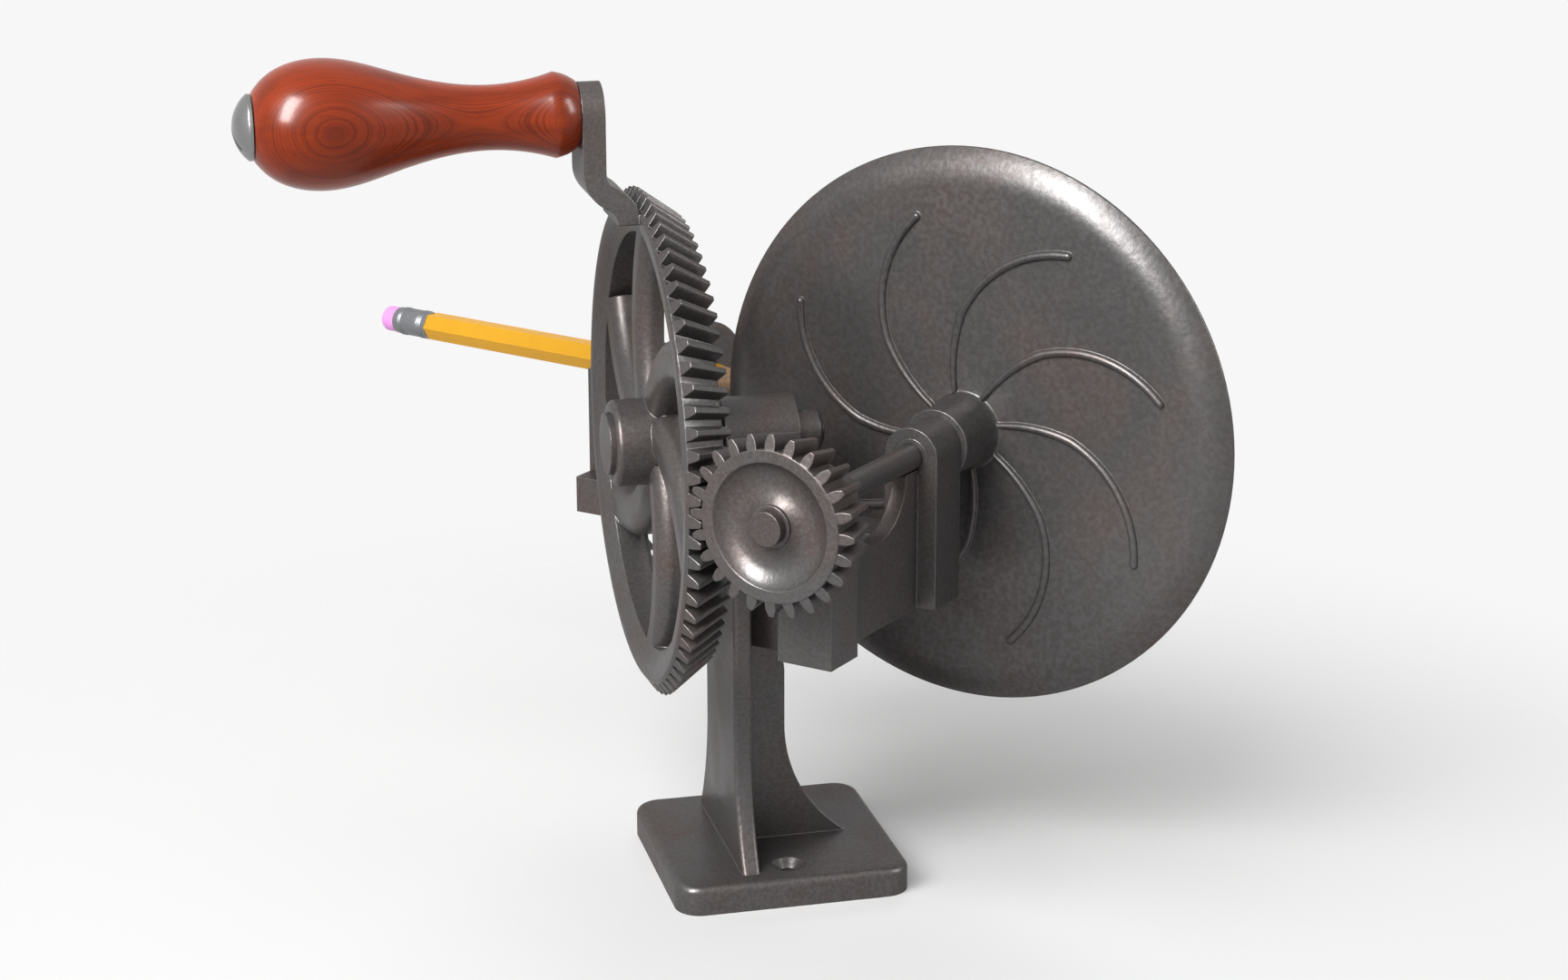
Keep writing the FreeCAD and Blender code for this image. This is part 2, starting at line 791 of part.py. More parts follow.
def frame_screw_axis(height):
    """The level axis of a screw that holds the frame to the stand."""
    return Axis((0, 0, height), EAST, NORTH, UP)


seat_right = flange_right + size("seat_thickness")
frame_screw_low = frame_bottom + size("frame_screw_rise")
frame_screw_axes = [frame_screw_axis(frame_screw_low), frame_screw_axis(frame_screw_low + size("frame_screw_spacing"))]
frame_screw_length = size("flange_thickness") + size("frame_screw_grip")
frame_screw_holes = [
    cylinder("frame_screw_hole", size("frame_screw_radius"), frame_screw_length, axis, flange_left)
    for axis in frame_screw_axes
]
stand = cut("stand", stand_body, [axle_bore] + screw_tools + frame_screw_holes)

# Bearing frame.
yoke = new_body("yoke")
wall_bottom = -size("frame_drop")
wall_top = -size("wall_top_drop")
window_centre = (front_pillar_back + rear_pillar) / 2
window_radius = size("window_radius")
window_level = -size("window_drop")
front_middle = (front_pillar + front_pillar_back) / 2
rear_middle = (rear_pillar + rear_pillar_back) / 2
pad(yoke, outline(yoke, "YZ_Plane", [
    (wall_bottom, front_middle),
    (wall_top, front_middle),
    (wall_top, window_centre - window_radius),
    (window_level, window_centre - window_radius, -window_radius),
    (window_level - window_radius, window_centre, -window_radius),
    (window_level, window_centre + window_radius),
    (wall_top, window_centre + window_radius),
    (wall_top, rear_middle),
    (wall_bottom, rear_middle),
]), size("wall_thickness"), midplane=True)
pillar_half = size("pillar_half_width")
for pillar_front in (front_pillar, rear_pillar):
    pad(yoke, outline(yoke, "XY_Plane", [
        (-pillar_half, wall_bottom),
        (pillar_half, wall_bottom),
        (pillar_half, 0, pillar_half),
        (0, pillar_half, pillar_half),
        (-pillar_half, 0),
    ], offset=pillar_front), size("pillar_depth"))
shaft_axis.seat(yoke, as_term(0))


def plan_slab(label, corners, bottom, height):
    """A level slab over an outline of X and Y corners."""
    body = new_body(label)
    pad(body, outline(body, "XY_Plane", corners, offset=bottom), height)
    return body


def where_tie_ends(along):
    """How far across the shaft a line, at a distance along it, meets the flange's right face."""
    return (apex_reach + along * ALONG_COS - flange_right) / ALONG_SIN


tie_front = -size("tie_front")
tie_back = tie_front + size("tie_width")
tie_plan = plan_slab("tie_plan", [
    on_plan(as_term(0), tie_front),
    on_plan(as_term(0), tie_back),
    on_plan(where_tie_ends(tie_back), tie_back),
    on_plan(where_tie_ends(tie_front), tie_front),
], frame_bottom - size("gusset_drop"), size("gusset_drop") + size("tie_height"))
tie_face = new_body("tie_face")
tie_far = where_tie_ends(tie_back) + over
gusset_bottom = wall_bottom - size("gusset_drop")
pad(tie_face, outline(tie_face, "XY_Plane", [
    (-over, wall_bottom),
    (size("gusset_start"), wall_bottom),
    (size("gusset_knee"), gusset_bottom),
    (tie_far, gusset_bottom),
    (tie_far, wall_bottom + size("tie_height")),
    (-over, wall_bottom + size("tie_height")),
], offset=tie_front - over), size("tie_width") + over * 2)
shaft_axis.seat(tie_face, as_term(0))
tie = doc.addObject("Part::MultiCommon", "tie")
tie.Shapes = [tie_plan, tie_face]
seat_bottom = frame_bottom - size("seat_below")
seat = box("seat", (flange_right, -size("seat_near"), seat_bottom),
           (seat_right, size("seat_far"), seat_bottom + size("seat_height")))
block_front = -size("block_front")
block_back = block_front + size("block_depth")
block_corner = on_plan(size("block_near"), block_front)[0]
bracket_right = larger(flange_right + size("bracket_width"), block_corner + size("bracket_lap"))
bracket = box("bracket", (flange_right, size("seat_far") / 2, frame_bottom),
              (bracket_right, size("bracket_reach"), block_top))
web_side = size("web_thickness") / 2 + size("web_room")
web_slot = box("web_slot", (flange_right - over, -web_side, frame_bottom - size("gusset_drop") - over),
               (size("web_reach") + size("web_room"), web_side, web_top + size("web_room")))
block = plan_slab("block", [
    on_plan(size("block_far"), block_front),
    on_plan(size("block_near"), block_front),
    on_plan(size("block_near"), block_back),
    on_plan(size("block_far"), block_back),
], frame_bottom, size("block_height"))
frame_casting = fused("frame_casting", [yoke, tie, seat, bracket, block])
shaft_bores = [
    cylinder("front_bore", shaft_bush_radius, size("pillar_depth"), shaft_axis, front_pillar),
    cylinder("rear_bore", shaft_bush_radius, size("pillar_depth"), shaft_axis, rear_pillar),
    cylinder("shaft_groove", size("shaft_radius") + size("shaft_room"), rear_pillar - front_pillar_back,
             shaft_axis, front_pillar_back),
]

# Pencil guide.
tilt = math.radians(float(size("pencil_tilt")))
drop = math.radians(float(size("pencil_drop")))
arch_middle = size("block_far") - size("arch_depth") / 2
arch_run = (float(arch_middle) - float(size("tip_reach"))) / math.cos(tilt)
arch_along = float(paper_face) + float(size("tip_gap")) + arch_run * math.sin(tilt)
arch_level = float(size("tip_rise")) - arch_run * math.tan(drop)
arch_side = size("arch_radius")
arch_low = size("block_height") - size("frame_drop")
upright = new_body("upright")
pad(upright, outline(upright, "YZ_Plane", [
    (arch_low, as_term(arch_along) - arch_side),
    (as_term(arch_level), as_term(arch_along) - arch_side, -arch_side),
    (as_term(arch_level) + arch_side, as_term(arch_along), -arch_side),
    (as_term(arch_level), as_term(arch_along) + arch_side),
    (arch_low, as_term(arch_along) + arch_side),
], offset=size("block_far") - size("arch_depth")), size("arch_depth"))
shaft_axis.seat(upright, as_term(0))
tube_length = as_term(arch_run / math.cos(drop)) - size("guide_flange_at")
flange_radius = size("guide_flange_radius")
flange_edge = size("guide_flange_edge")
guide_flange = size("guide_flange_thickness")
barrel = turned("guide_barrel", pencil_axis, size("guide_flange_at"), [
    (0, 0),
    (flange_radius - flange_edge, 0, flange_edge),
    (flange_radius, flange_edge),
    (flange_radius, guide_flange - flange_edge, flange_edge),
    (flange_radius - flange_edge, guide_flange),
    (size("guide_tube_radius"), guide_flange),
    (size("guide_tube_radius"), tube_length),
    (0, tube_length),
])
pencil_corner = size("pencil_flats") / math.sqrt(3)
guide_bore = cylinder("guide_bore", pencil_corner + size("pencil_clearance"),
                      as_term(2 * arch_run) - size("guide_flange_at"), pencil_axis, size("guide_flange_at") - over)


def guide_screw_axis(side):
    """The upright axis of a screw that holds the guide to the frame's block."""
    x, y = on_plan(arch_middle, as_term(arch_along) + size("guide_screw_spacing") * (side / 2))
    return Axis((x, y, frame_bottom), UP, EAST, NORTH)


def guide_screw(label, axis):
    """A countersunk screw, flush with the block's underside."""
    shank, head = size("guide_screw_radius"), size("guide_screw_head_radius")
    length = size("block_height") + size("guide_screw_grip")
    return turned(label, axis, 0, [(0, 0), (head, 0), (shank, head - shank), (shank, length), (0, length)])


guide_screw_axes = [guide_screw_axis(-1), guide_screw_axis(1)]
guide_screw_solids = [guide_screw("guide_screw", axis) for axis in guide_screw_axes]
guide_screws = fused("guide_screws", guide_screw_solids)
pencil_guide = cut("pencil_guide", fused("guide_casting", [upright, barrel]), [guide_bore] + guide_screw_solids)
bearing_frame = cut("bearing_frame", frame_casting,
                    shaft_bores + frame_screw_holes + guide_screw_solids + [web_slot])


def frame_screw(label, axis):
    """A cheese-head screw through the flange into the frame's seat."""
    head, shank = size("frame_screw_head_radius"), size("frame_screw_radius")
    under = size("frame_screw_head")
    return turned(label, axis, flange_left - under, [
        (0, 0),
        (head, 0),
        (head, under),
        (shank, under),
        (shank, under + frame_screw_length),
        (0, under + frame_screw_length),
    ])


frame_screws = fused("frame_screws", [frame_screw("frame_screw", axis) for axis in frame_screw_axes])


def bush(label, axis, start, inner, outer, length):
    """A plain bearing bush."""
    return turned(label, axis, start, [(inner, 0), (outer, 0), (outer, length), (inner, length)])


running = size("running_clearance")
axle_bush = bush("axle_bush", crank_axis, flange_left, size("axle_radius") + running, axle_bush_radius,
                 size("boss_length"))
front_shaft_bush = bush("front_shaft_bush", shaft_axis, front_pillar, size("shaft_radius") + running,
                        shaft_bush_radius, size("pillar_depth"))
rear_shaft_bush = bush("rear_shaft_bush", shaft_axis, rear_pillar, size("shaft_radius") + running,
                       shaft_bush_radius, size("pillar_depth"))

# Crank gear with its hub and arm.
rim = shaped("gear_rim", gear_rim(), crank_apex)
spokes = shaped("gear_spokes", gear_spokes(), crank_apex)
hub_edge = size("hub_edge")
hub_length = washer_left - hub_face
hub_step = hub_length - (washer_left + size("spoke_back"))
hub = turned("gear_hub", crank_axis, hub_face, [
    (0, size("hub_recess_depth")),
    (size("hub_recess_radius"), size("hub_recess_depth")),
    (size("hub_recess_radius"), 0),
    (size("hub_radius") - hub_edge, 0, hub_edge),
    (size("hub_radius"), hub_edge),
    (size("hub_radius"), hub_step),
    (size("hub_tail_radius"), hub_step + size("hub_taper")),
    (size("hub_tail_radius"), hub_length),
    (0, hub_length),
])
arm_right_low = as_term(gear_front() + float(apex_reach)) + size("arm_sink")
arm_left_low = arm_right_low - size("arm_thickness")
arm_right_high = arm_right_low - size("arm_offset")
arm_left_high = arm_right_high - size("arm_thickness")
arm_bottom = axis_height + rim_outer_radius - size("rim_ring_width") + size("arm_root_inset")
arm_bend_low = arm_bottom + size("arm_root_length")
arm_bend_high = arm_bend_low + size("arm_rise")
handle_height = axis_height + crank_radius
arm_top = handle_height + size("arm_end_radius")
# The S-bend is two equal arcs; its half turn has the tangent offset over rise.
bend_tangent = size("arm_offset") / size("arm_rise")
bend_square = bend_tangent * bend_tangent
bend_sine = 2 * bend_tangent / (1 + bend_square)
bend_cosine = (1 - bend_square) / (1 + bend_square)
bend_radius = size("arm_rise") / (2 * bend_sine)
bend_outer = bend_radius + size("arm_thickness") / 2
bend_inner = bend_radius - size("arm_thickness") / 2
lower_centre_x = arm_right_low - bend_outer
upper_centre_x = arm_left_high + bend_outer
arm_strip = new_body("arm_strip")
pad(arm_strip, outline(arm_strip, "XZ_Plane", [
    (arm_left_high, arm_top),
    (arm_left_high, arm_bend_high, bend_outer),
    (upper_centre_x - bend_outer * bend_cosine, arm_bend_high - bend_outer * bend_sine, -bend_inner),
    (arm_left_low, arm_bend_low),
    (arm_left_low, arm_bottom),
    (arm_right_low, arm_bottom),
    (arm_right_low, arm_bend_low, bend_outer),
    (lower_centre_x + bend_outer * bend_cosine, arm_bend_low + bend_outer * bend_sine, -bend_inner),
    (arm_right_high, arm_bend_high),
    (arm_right_high, arm_top),
]), size("arm_root_half_width") * 2, midplane=True)
arm_face = new_body("arm_face")
arm_end = size("arm_end_radius")
arm_root = size("arm_root_half_width")
pad(arm_face, outline(arm_face, "YZ_Plane", [
    (-arm_root, arm_bottom),
    (arm_root, arm_bottom),
    (arm_end, arm_bend_high),
    (arm_end, handle_height, arm_end),
    (0, arm_top, arm_end),
    (-arm_end, handle_height),
    (-arm_end, arm_bend_high),
], offset=arm_left_high - over), arm_right_low - arm_left_high + over * 2)
arm = doc.addObject("Part::MultiCommon", "crank_arm")
arm.Shapes = [arm_strip, arm_face]
axle_pin_length = size("hub_tail_radius") * 2
axle_pin_at = (washer_left - size("spoke_back")) / 2
axle_pin = upright_pin("axle_pin", size("pin_radius"), axle_pin_length, crank_axis, axle_pin_at)
axle_hole = cylinder("axle_hole", size("axle_radius"), hub_length, crank_axis, hub_face)
rivet_hole = cylinder("rivet_hole", size("rivet_radius"), size("arm_thickness"), handle_axis, arm_left_high)
crank_gear = cut("crank_gear", fused("gear_casting", [rim, spokes, hub, arm]), [axle_hole, rivet_hole, axle_pin])

# Axle and its fittings.
head_start = hub_recess_floor - size("axle_head_length")
axle_length = axle_end - head_start
axle_edge = size("axle_tail") / 2
axle_body = turned("axle_blank", crank_axis, head_start, [
    (0, 0),
    (size("axle_head_radius"), 0),
    (size("axle_head_radius"), size("axle_head_length")),
    (size("axle_radius"), size("axle_head_length")),
    (size("axle_radius"), axle_length - axle_edge),
    (size("axle_radius") - axle_edge, axle_length),
    (0, axle_length),
])
collar_pin_at = (collar_left + collar_right) / 2
collar_pin = upright_pin("collar_pin", size("collar_pin_radius"), size("collar_radius") * 2, crank_axis,
                         collar_pin_at)
gear_axle = cut("gear_axle", axle_body, [axle_pin, collar_pin])
axle_washer = bush("axle_washer", crank_axis, washer_left, size("axle_radius"), size("washer_radius"),
                   size("washer_thickness"))
collar_edge = size("collar_edge")
collar_blank = turned("collar_blank", crank_axis, collar_left, [
    (size("axle_radius"), 0),
    (size("collar_radius"), 0),
    (size("collar_radius"), size("collar_length") - collar_edge),
    (size("collar_radius") - collar_edge, size("collar_length")),
    (size("axle_radius"), size("collar_length")),
])
axle_collar = cut("axle_collar", collar_blank, [collar_pin])

# Handle.
grip_inner_end = arm_left_high - size("grip_gap")
grip_outer_end = grip_inner_end - size("grip_length")
cap_inner = grip_outer_end - size("grip_gap")
spindle_shank = arm_left_high - cap_inner
spindle_length = spindle_shank + size("arm_thickness")
handle_spindle = turned("handle_spindle", handle_axis, cap_inner, [
    (0, 0),
    (size("spindle_radius"), 0),
    (size("spindle_radius"), spindle_shank),
    (size("rivet_radius"), spindle_shank),
    (size("rivet_radius"), spindle_length),
    (0, spindle_length),
])


def grip_shape():
    """The turned grip: a round shoulder, then collar to belly on one curve, with a bore for the spindle."""
    length = float(size("grip_length"))
    bore = float(size("spindle_radius")) + float(running)
    points = []
    for name in ("collar", "throat", "neck", "swell", "belly", "cheek"):
        radius = float(size("grip_%s_radius" % name))
        points.append(FreeCAD.Vector(radius, 0, length - float(size("grip_%s_at" % name))))
    first = FreeCAD.Vector(float(size("grip_shoulder_radius")), 0, length)
    last = FreeCAD.Vector(float(size("grip_end_radius")), 0, 0)
    curve = Part.BSplineCurve()
    curve.interpolate(points + [last])
    rise = points[0] - first
    outwards = FreeCAD.Vector(-rise.z, 0, rise.x).normalize()
    crest = (first + points[0]) * 0.5 + outwards * float(size("grip_collar_bulge"))
    inner_first = FreeCAD.Vector(bore, 0, first.z)
    inner_last = FreeCAD.Vector(bore, 0, last.z)
    sides = [
        Part.Arc(first, crest, points[0]).toShape(),
        curve.toShape(),
        Part.makeLine(last, inner_last),
        Part.makeLine(inner_last, inner_first),
        Part.makeLine(inner_first, first),
    ]
    return Part.Face(Part.Wire(sides)).revolve(FreeCAD.Vector(), UP, 360)


handle_grip = shaped("handle_grip", grip_shape(), handle_axis, grip_outer_end)
cap_rim = size("cap_rim")
cap_dome = size("cap_length") - cap_rim
cap_curve = (size("cap_radius") * size("cap_radius") + cap_dome * cap_dome) / (2 * cap_dome)
cap_blank = turned("cap_blank", handle_axis, cap_inner - size("cap_length"), [
    (0, 0, cap_curve),
    (size("cap_radius"), cap_dome),
    (size("cap_radius"), size("cap_length")),
    (0, size("cap_length")),
])
slot_half = size("cap_slot_width") / 2
cap_left = cap_inner - size("cap_length")
cap_slot = box("cap_slot", (cap_left - over, -slot_half, handle_height - size("cap_radius") - over),
               (cap_left + size("cap_slot_depth"), slot_half, handle_height + size("cap_radius") + over))
handle_cap = cut("handle_cap", cap_blank, [cap_slot])

# Pinion, shaft and disc.
pinion_front = pinion.root(pinion.heel + heel_step)[1] - float(size("pinion_nose"))


def pinion_shape():
    """The toothed pinion, with a tooth where it meets the gear and a dished front."""
    heel_radius, heel_height = pinion.root(pinion.heel + heel_step)
    toe_radius, toe_height = pinion.root(pinion.toe - tooth_margin)
    back = float(pinion_back)
    hub_radius = float(size("pinion_hub_radius"))
    bore = float(size("shaft_radius"))
    dish = float(size("dish_radius"))
    pad_radius = float(size("pinion_pad_radius"))
    pad_face = pinion_front + float(size("pinion_pad_set"))
    lip = FreeCAD.Vector(dish, 0, pinion_front)
    floor = FreeCAD.Vector(pad_radius, 0, pad_face + float(size("pinion_pad_height")))
    middle = FreeCAD.Vector((pad_radius + dish) / 2, 0, pinion_front + float(size("dish_depth")))
    rest = [
        FreeCAD.Vector(bore, 0, pad_face),
        FreeCAD.Vector(bore, 0, back),
        FreeCAD.Vector(hub_radius, 0, back),
        FreeCAD.Vector(hub_radius, 0, toe_height),
        FreeCAD.Vector(toe_radius, 0, toe_height),
        FreeCAD.Vector(heel_radius, 0, heel_height),
        FreeCAD.Vector(heel_radius - float(size("pinion_nose")), 0, pinion_front),
        lip,
    ]
    rise = FreeCAD.Vector(pad_radius, 0, pad_face)
    sides = [Part.Arc(lip, middle, floor).toShape()]
    for start, end in zip([floor, rise] + rest[:-1], [rise] + rest):
        sides.append(Part.makeLine(start, end))
    blank = Part.Face(Part.Wire(sides)).revolve(FreeCAD.Vector(), UP, 360)
    return pinion.toothed(blank, 0.0)


pinion_blank = shaped("pinion_blank", pinion_shape(), shaft_axis)
pinion_pin_at = (pinion_toe + pinion_back) / 2
pinion_pin = upright_pin("pinion_pin", size("pinion_pin_radius"), size("pinion_hub_radius") * 2, shaft_axis,
                         pinion_pin_at)
bevel_pinion = cut("bevel_pinion", pinion_blank, [pinion_pin])
disc_pin_at = disc_hub_front + size("pin_radius") * 3
disc_pin = upright_pin("disc_pin", size("pin_radius"), size("disc_hub_radius") * 2, shaft_axis, disc_pin_at)
shaft_seat = as_term(pinion_front) + size("pinion_pad_set")
shaft_start = shaft_seat - size("shaft_head_length")
head_length = size("shaft_head_length")
shaft_length = shaft_end - shaft_start
shaft_blank = turned("shaft_blank", shaft_axis, shaft_start, [
    (0, 0),
    (size("shaft_head_radius"), 0),
    (size("shaft_head_radius"), head_length),
    (size("shaft_radius"), head_length),
    (size("shaft_radius"), shaft_length),
    (0, shaft_length),
])
disc_shaft = cut("disc_shaft", shaft_blank, [pinion_pin, disc_pin])

flare = size("disc_hub_flare")
hub_reach = disc_front - disc_hub_front
disc_depth = disc_face - disc_hub_front
rim_width = size("disc_rim_width")
rim_depth = size("disc_thickness") - size("disc_edge")
rim_round = (rim_width * rim_width + rim_depth * rim_depth) / (2 * rim_depth)
disc_blank = turned("disc_blank", shaft_axis, disc_hub_front, [
    (size("shaft_radius"), 0),
    (size("disc_hub_radius"), 0),
    (size("disc_hub_radius"), hub_reach - flare, -flare),
    (size("disc_hub_radius") + flare, hub_reach),
    (size("disc_radius") - rim_width, hub_reach, rim_round),
    (size("disc_radius"), disc_depth - size("disc_edge")),
    (size("disc_radius"), disc_depth),
    (size("shaft_radius"), disc_depth),
])


def disc_ribs():
    """Curved half-round ribs on the disc's front, each an arc from near the hub to a rounded tip."""
    half = float(size("rib_width")) / 2
    level = float(disc_front)
    inner = float(size("rib_inner_radius"))
    swing = math.radians(float(size("rib_inner_angle")))
    outer = FreeCAD.Vector(float(size("rib_outer_radius")), 0, level)
    near = FreeCAD.Vector(inner * math.cos(swing), -inner * math.sin(swing), level)
    chord = near - outer
    sagitta = float(size("rib_sagitta"))
    radius = (chord.Length ** 2 / 4 + sagitta ** 2) / (2 * sagitta)
    aside = chord.cross(UP).normalize()
    centre = (near + outer) * 0.5 + aside * (radius - sagitta)
    section = Part.Face(Part.Wire(Part.makeCircle(half, outer, UP.cross(outer - centre))))
    sweep = math.degrees((outer - centre).getAngle(near - centre))
    rib = section.revolve(centre, -UP, sweep)
    tips = [Part.makeSphere(half, outer), Part.makeSphere(half, near)]
    rib = rib.multiFuse(tips)
    count = int(round(float(size("rib_count"))))
    ribs = []
    for index in range(count):
        copy = rib.copy()
        copy.rotate(FreeCAD.Vector(), UP, float(size("rib_first_angle")) + 360.0 * index / count)
        ribs.append(copy)
    return Part.makeCompound(ribs)


ribs = shaped("disc_ribs", disc_ribs(), shaft_axis)
grinding_disc = cut("grinding_disc", fused("disc_casting", [disc_blank, ribs]), [disc_pin])
abrasive_paper = bush("abrasive_paper", shaft_axis, disc_face, size("shaft_radius"),
                      size("disc_radius") - size("paper_inset"), size("paper_thickness"))
clamp_washer = bush("clamp_washer", shaft_axis, paper_face, size("shaft_radius"), size("clamp_radius"),
                    size("clamp_thickness"))
nut_body = new_body("clamp_nut")
nut_half = size("nut_across_flats") / 2
nut_corner = nut_half * (2 / math.sqrt(3))
nut_sketch = outline(nut_body, "XY_Plane", [
    (nut_corner, 0),
    (nut_corner / 2, nut_half),
    (-nut_corner / 2, nut_half),
    (-nut_corner, 0),
    (-nut_corner / 2, -nut_half),
    (nut_corner / 2, -nut_half),
])
pad(nut_body, nut_sketch, size("nut_height"))
nut_bore = nut_body.newObject("PartDesign::Pocket", "nut_bore")
nut_bore.Profile = ring(nut_body, "XY_Plane", (0, 0), size("shaft_radius"))
nut_bore.Type = 1
nut_bore.Reversed = True
shaft_axis.seat(nut_body, clamp_face)
clamp_nut = nut_body

# Pencil, pushed through the guide with its point on the abrasive face.
point_slope = as_term(math.tan(tilt))
lead_shows = size("lead_radius") / point_slope
ferrule_start = size("pencil_length") - size("eraser_show") - size("ferrule_length")
barrel_end = ferrule_start + size("ferrule_grip")
ferrule_inner = size("ferrule_radius") - size("ferrule_wall")
cone_end = pencil_corner / point_slope
hex_body = new_body("pencil_hexagon")
pad(hex_body, outline(hex_body, "XY_Plane", [
    (pencil_corner, 0),
    (pencil_corner / 2, size("pencil_flats") / 2),
    (-pencil_corner / 2, size("pencil_flats") / 2),
    (-pencil_corner, 0),
    (-pencil_corner / 2, -(size("pencil_flats") / 2)),
    (pencil_corner / 2, -(size("pencil_flats") / 2)),
]), barrel_end)
pencil_axis.seat(hex_body, as_term(0))
envelope = turned("pencil_envelope", pencil_axis, 0, [
    (size("lead_radius"), lead_shows),
    (pencil_corner * 1.2, cone_end * 1.2),
    (pencil_corner * 1.2, ferrule_start),
    (ferrule_inner, ferrule_start),
    (ferrule_inner, barrel_end),
    (size("lead_radius"), barrel_end),
])
pencil_barrel = doc.addObject("Part::MultiCommon", "pencil_barrel")
pencil_barrel.Shapes = [hex_body, envelope]
pencil_lead = turned("pencil_lead", pencil_axis, 0, [
    (0, 0),
    (size("lead_radius"), lead_shows),
    (size("lead_radius"), barrel_end),
    (0, barrel_end),
])
pencil_ferrule = bush("pencil_ferrule", pencil_axis, ferrule_start, ferrule_inner, size("ferrule_radius"),
                      size("ferrule_length"))
eraser_length = size("pencil_length") - barrel_end
eraser_round = size("eraser_round")
pencil_eraser = turned("pencil_eraser", pencil_axis, barrel_end, [
    (0, 0),
    (ferrule_inner, 0),
    (ferrule_inner, eraser_length - eraser_round, eraser_round),
    (ferrule_inner - eraser_round, eraser_length),
    (0, eraser_length),
])

NODES = [
    stand, bearing_frame, frame_screws, axle_bush, front_shaft_bush, rear_shaft_bush, pencil_guide, guide_screws,
    crank_gear, gear_axle, axle_pin, axle_washer, axle_collar, collar_pin, handle_spindle, handle_cap, handle_grip,
    bevel_pinion, disc_shaft, pinion_pin, grinding_disc, disc_pin, abrasive_paper, clamp_washer, clamp_nut,
    pencil_barrel, pencil_lead, pencil_ferrule, pencil_eraser,
]

doc.recompute()
for feature in doc.Objects:
    if "Invalid" in feature.State or "Error" in feature.State:
        raise RuntimeError("%s did not build: %s" % (feature.Label, feature.State))
for node in NODES:
    if node.Shape.isNull() or not node.Shape.isValid():
        raise RuntimeError("%s has no valid shape" % node.Label)
os.makedirs("parts", exist_ok=True)
for node in NODES:
    node.Shape.exportStep("parts/%s.step" % node.Label)
    print("%s: %d solids, %.1f mm3" % (node.Label, len(node.Shape.Solids), node.Shape.Volume))
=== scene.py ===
"""Crank pencil sharpener: finishes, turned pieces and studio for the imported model."""
import json
import math

import bmesh
import bpy
from bpy.props import FloatProperty, FloatVectorProperty, IntProperty, PointerProperty
from mathutils import Matrix, Vector


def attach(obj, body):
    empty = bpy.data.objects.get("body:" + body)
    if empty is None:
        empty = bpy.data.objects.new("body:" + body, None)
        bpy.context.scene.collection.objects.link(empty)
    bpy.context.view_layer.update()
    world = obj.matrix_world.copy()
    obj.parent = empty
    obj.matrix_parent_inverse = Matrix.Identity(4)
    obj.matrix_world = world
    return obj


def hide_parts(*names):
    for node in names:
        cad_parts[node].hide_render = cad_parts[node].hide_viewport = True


bl_info = {
    "name": "Crank Pencil Sharpener",
    "version": (1, 0, 0),
    "blender": (4, 5, 0),
    "location": "View3D > Sidebar > Sharpener",
    "description": "Dresses the sharpener's castings, handle, pencil and stage",
    "category": "Object",
}

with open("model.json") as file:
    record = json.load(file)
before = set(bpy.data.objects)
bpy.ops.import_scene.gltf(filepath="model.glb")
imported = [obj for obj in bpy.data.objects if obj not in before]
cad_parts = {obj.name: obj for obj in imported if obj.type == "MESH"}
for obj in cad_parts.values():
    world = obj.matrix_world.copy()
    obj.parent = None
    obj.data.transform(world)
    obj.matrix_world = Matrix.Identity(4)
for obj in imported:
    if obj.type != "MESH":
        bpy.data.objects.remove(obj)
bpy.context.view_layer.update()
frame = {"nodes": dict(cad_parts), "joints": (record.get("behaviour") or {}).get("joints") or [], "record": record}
JOINTS = {joint["name"]: joint for joint in frame["joints"]}
BODIES = frame["record"]["behaviour"]["bodies"]

# Limits that find the forms of the solids, in metres or as parts of a unit normal.
MERGE_DISTANCE = 2e-6
SEAM_DISTANCE = 1e-7
WALL_TOLERANCE = 1e-6
SOLID_AXLE_HEAD = 0.0068
AXLE_RIM_BAND = 0.002
AXLE_FACE_DEPTH = 0.001
CAP_SLOT_REACH = 0.00075
CAP_WALL_NORMAL = 0.9
CAP_FLOOR_NORMAL = -0.9999
POINT_SLOPE = (-0.9, -0.05)
BARREL_CREASE = math.radians(20)

# The ferrule: its rims and the starts of its bands of beads as shares of its length, and the beads in each.
RIM_SHARES = (0.09, 0.92)
BEAD_BANDS = ((0.11, 3), (0.74, 2))
KNURL_SLANT = 900.0
KNURL_FADE = 0.0006
FERRULE_CREASE = math.radians(50)

# The stage. Each lamp has a name, place, width, height, power and the kind of ray that doesn't see it.
PHOTO_WIDTH = 1728.0
FOCAL_PIXELS = 3364.0
SENSOR_WIDTH = 36.0
CAMERA_PLACE = (-0.18583, -0.76313, 0.34579)
CAMERA_DIP = math.radians(16.871)
CAMERA_TURN = math.radians(-13.985)
FILL_STRENGTH = 0.29
FLOOR_RADIUS = 2.5
FLOOR_FADE = (0.07, 0.34)
LAMP_TARGET = Vector((0.02, 0.0, 0.12))
LAMPS = (
    ("soft_front", (-0.85, -1.07, 1.56), 0.9, 0.9, 18.5, "visible_glossy"),
    ("soft_left", (-1.2, -0.5, 1.05), 0.7, 0.7, 14.0, "visible_glossy"),
    ("soft_right", (1.35, -0.48, 0.87), 0.8, 0.8, 1.2, "visible_glossy"),
    ("soft_back", (0.5, 1.3, 1.3), 0.8, 0.8, 6.0, "visible_glossy"),
    ("gloss_left", (-1.13, -0.98, 1.2), 0.55, 1.3, 120.0, "visible_diffuse"),
    ("gloss_right", (1.25, -0.75, 0.87), 0.4, 0.9, 24.0, "visible_diffuse"),
)


def colour(name, text, default):
    """A colour that a user may change."""
    return FloatVectorProperty(
        name=name, description=text, subtype="COLOR", size=3, min=0, max=1, default=default)


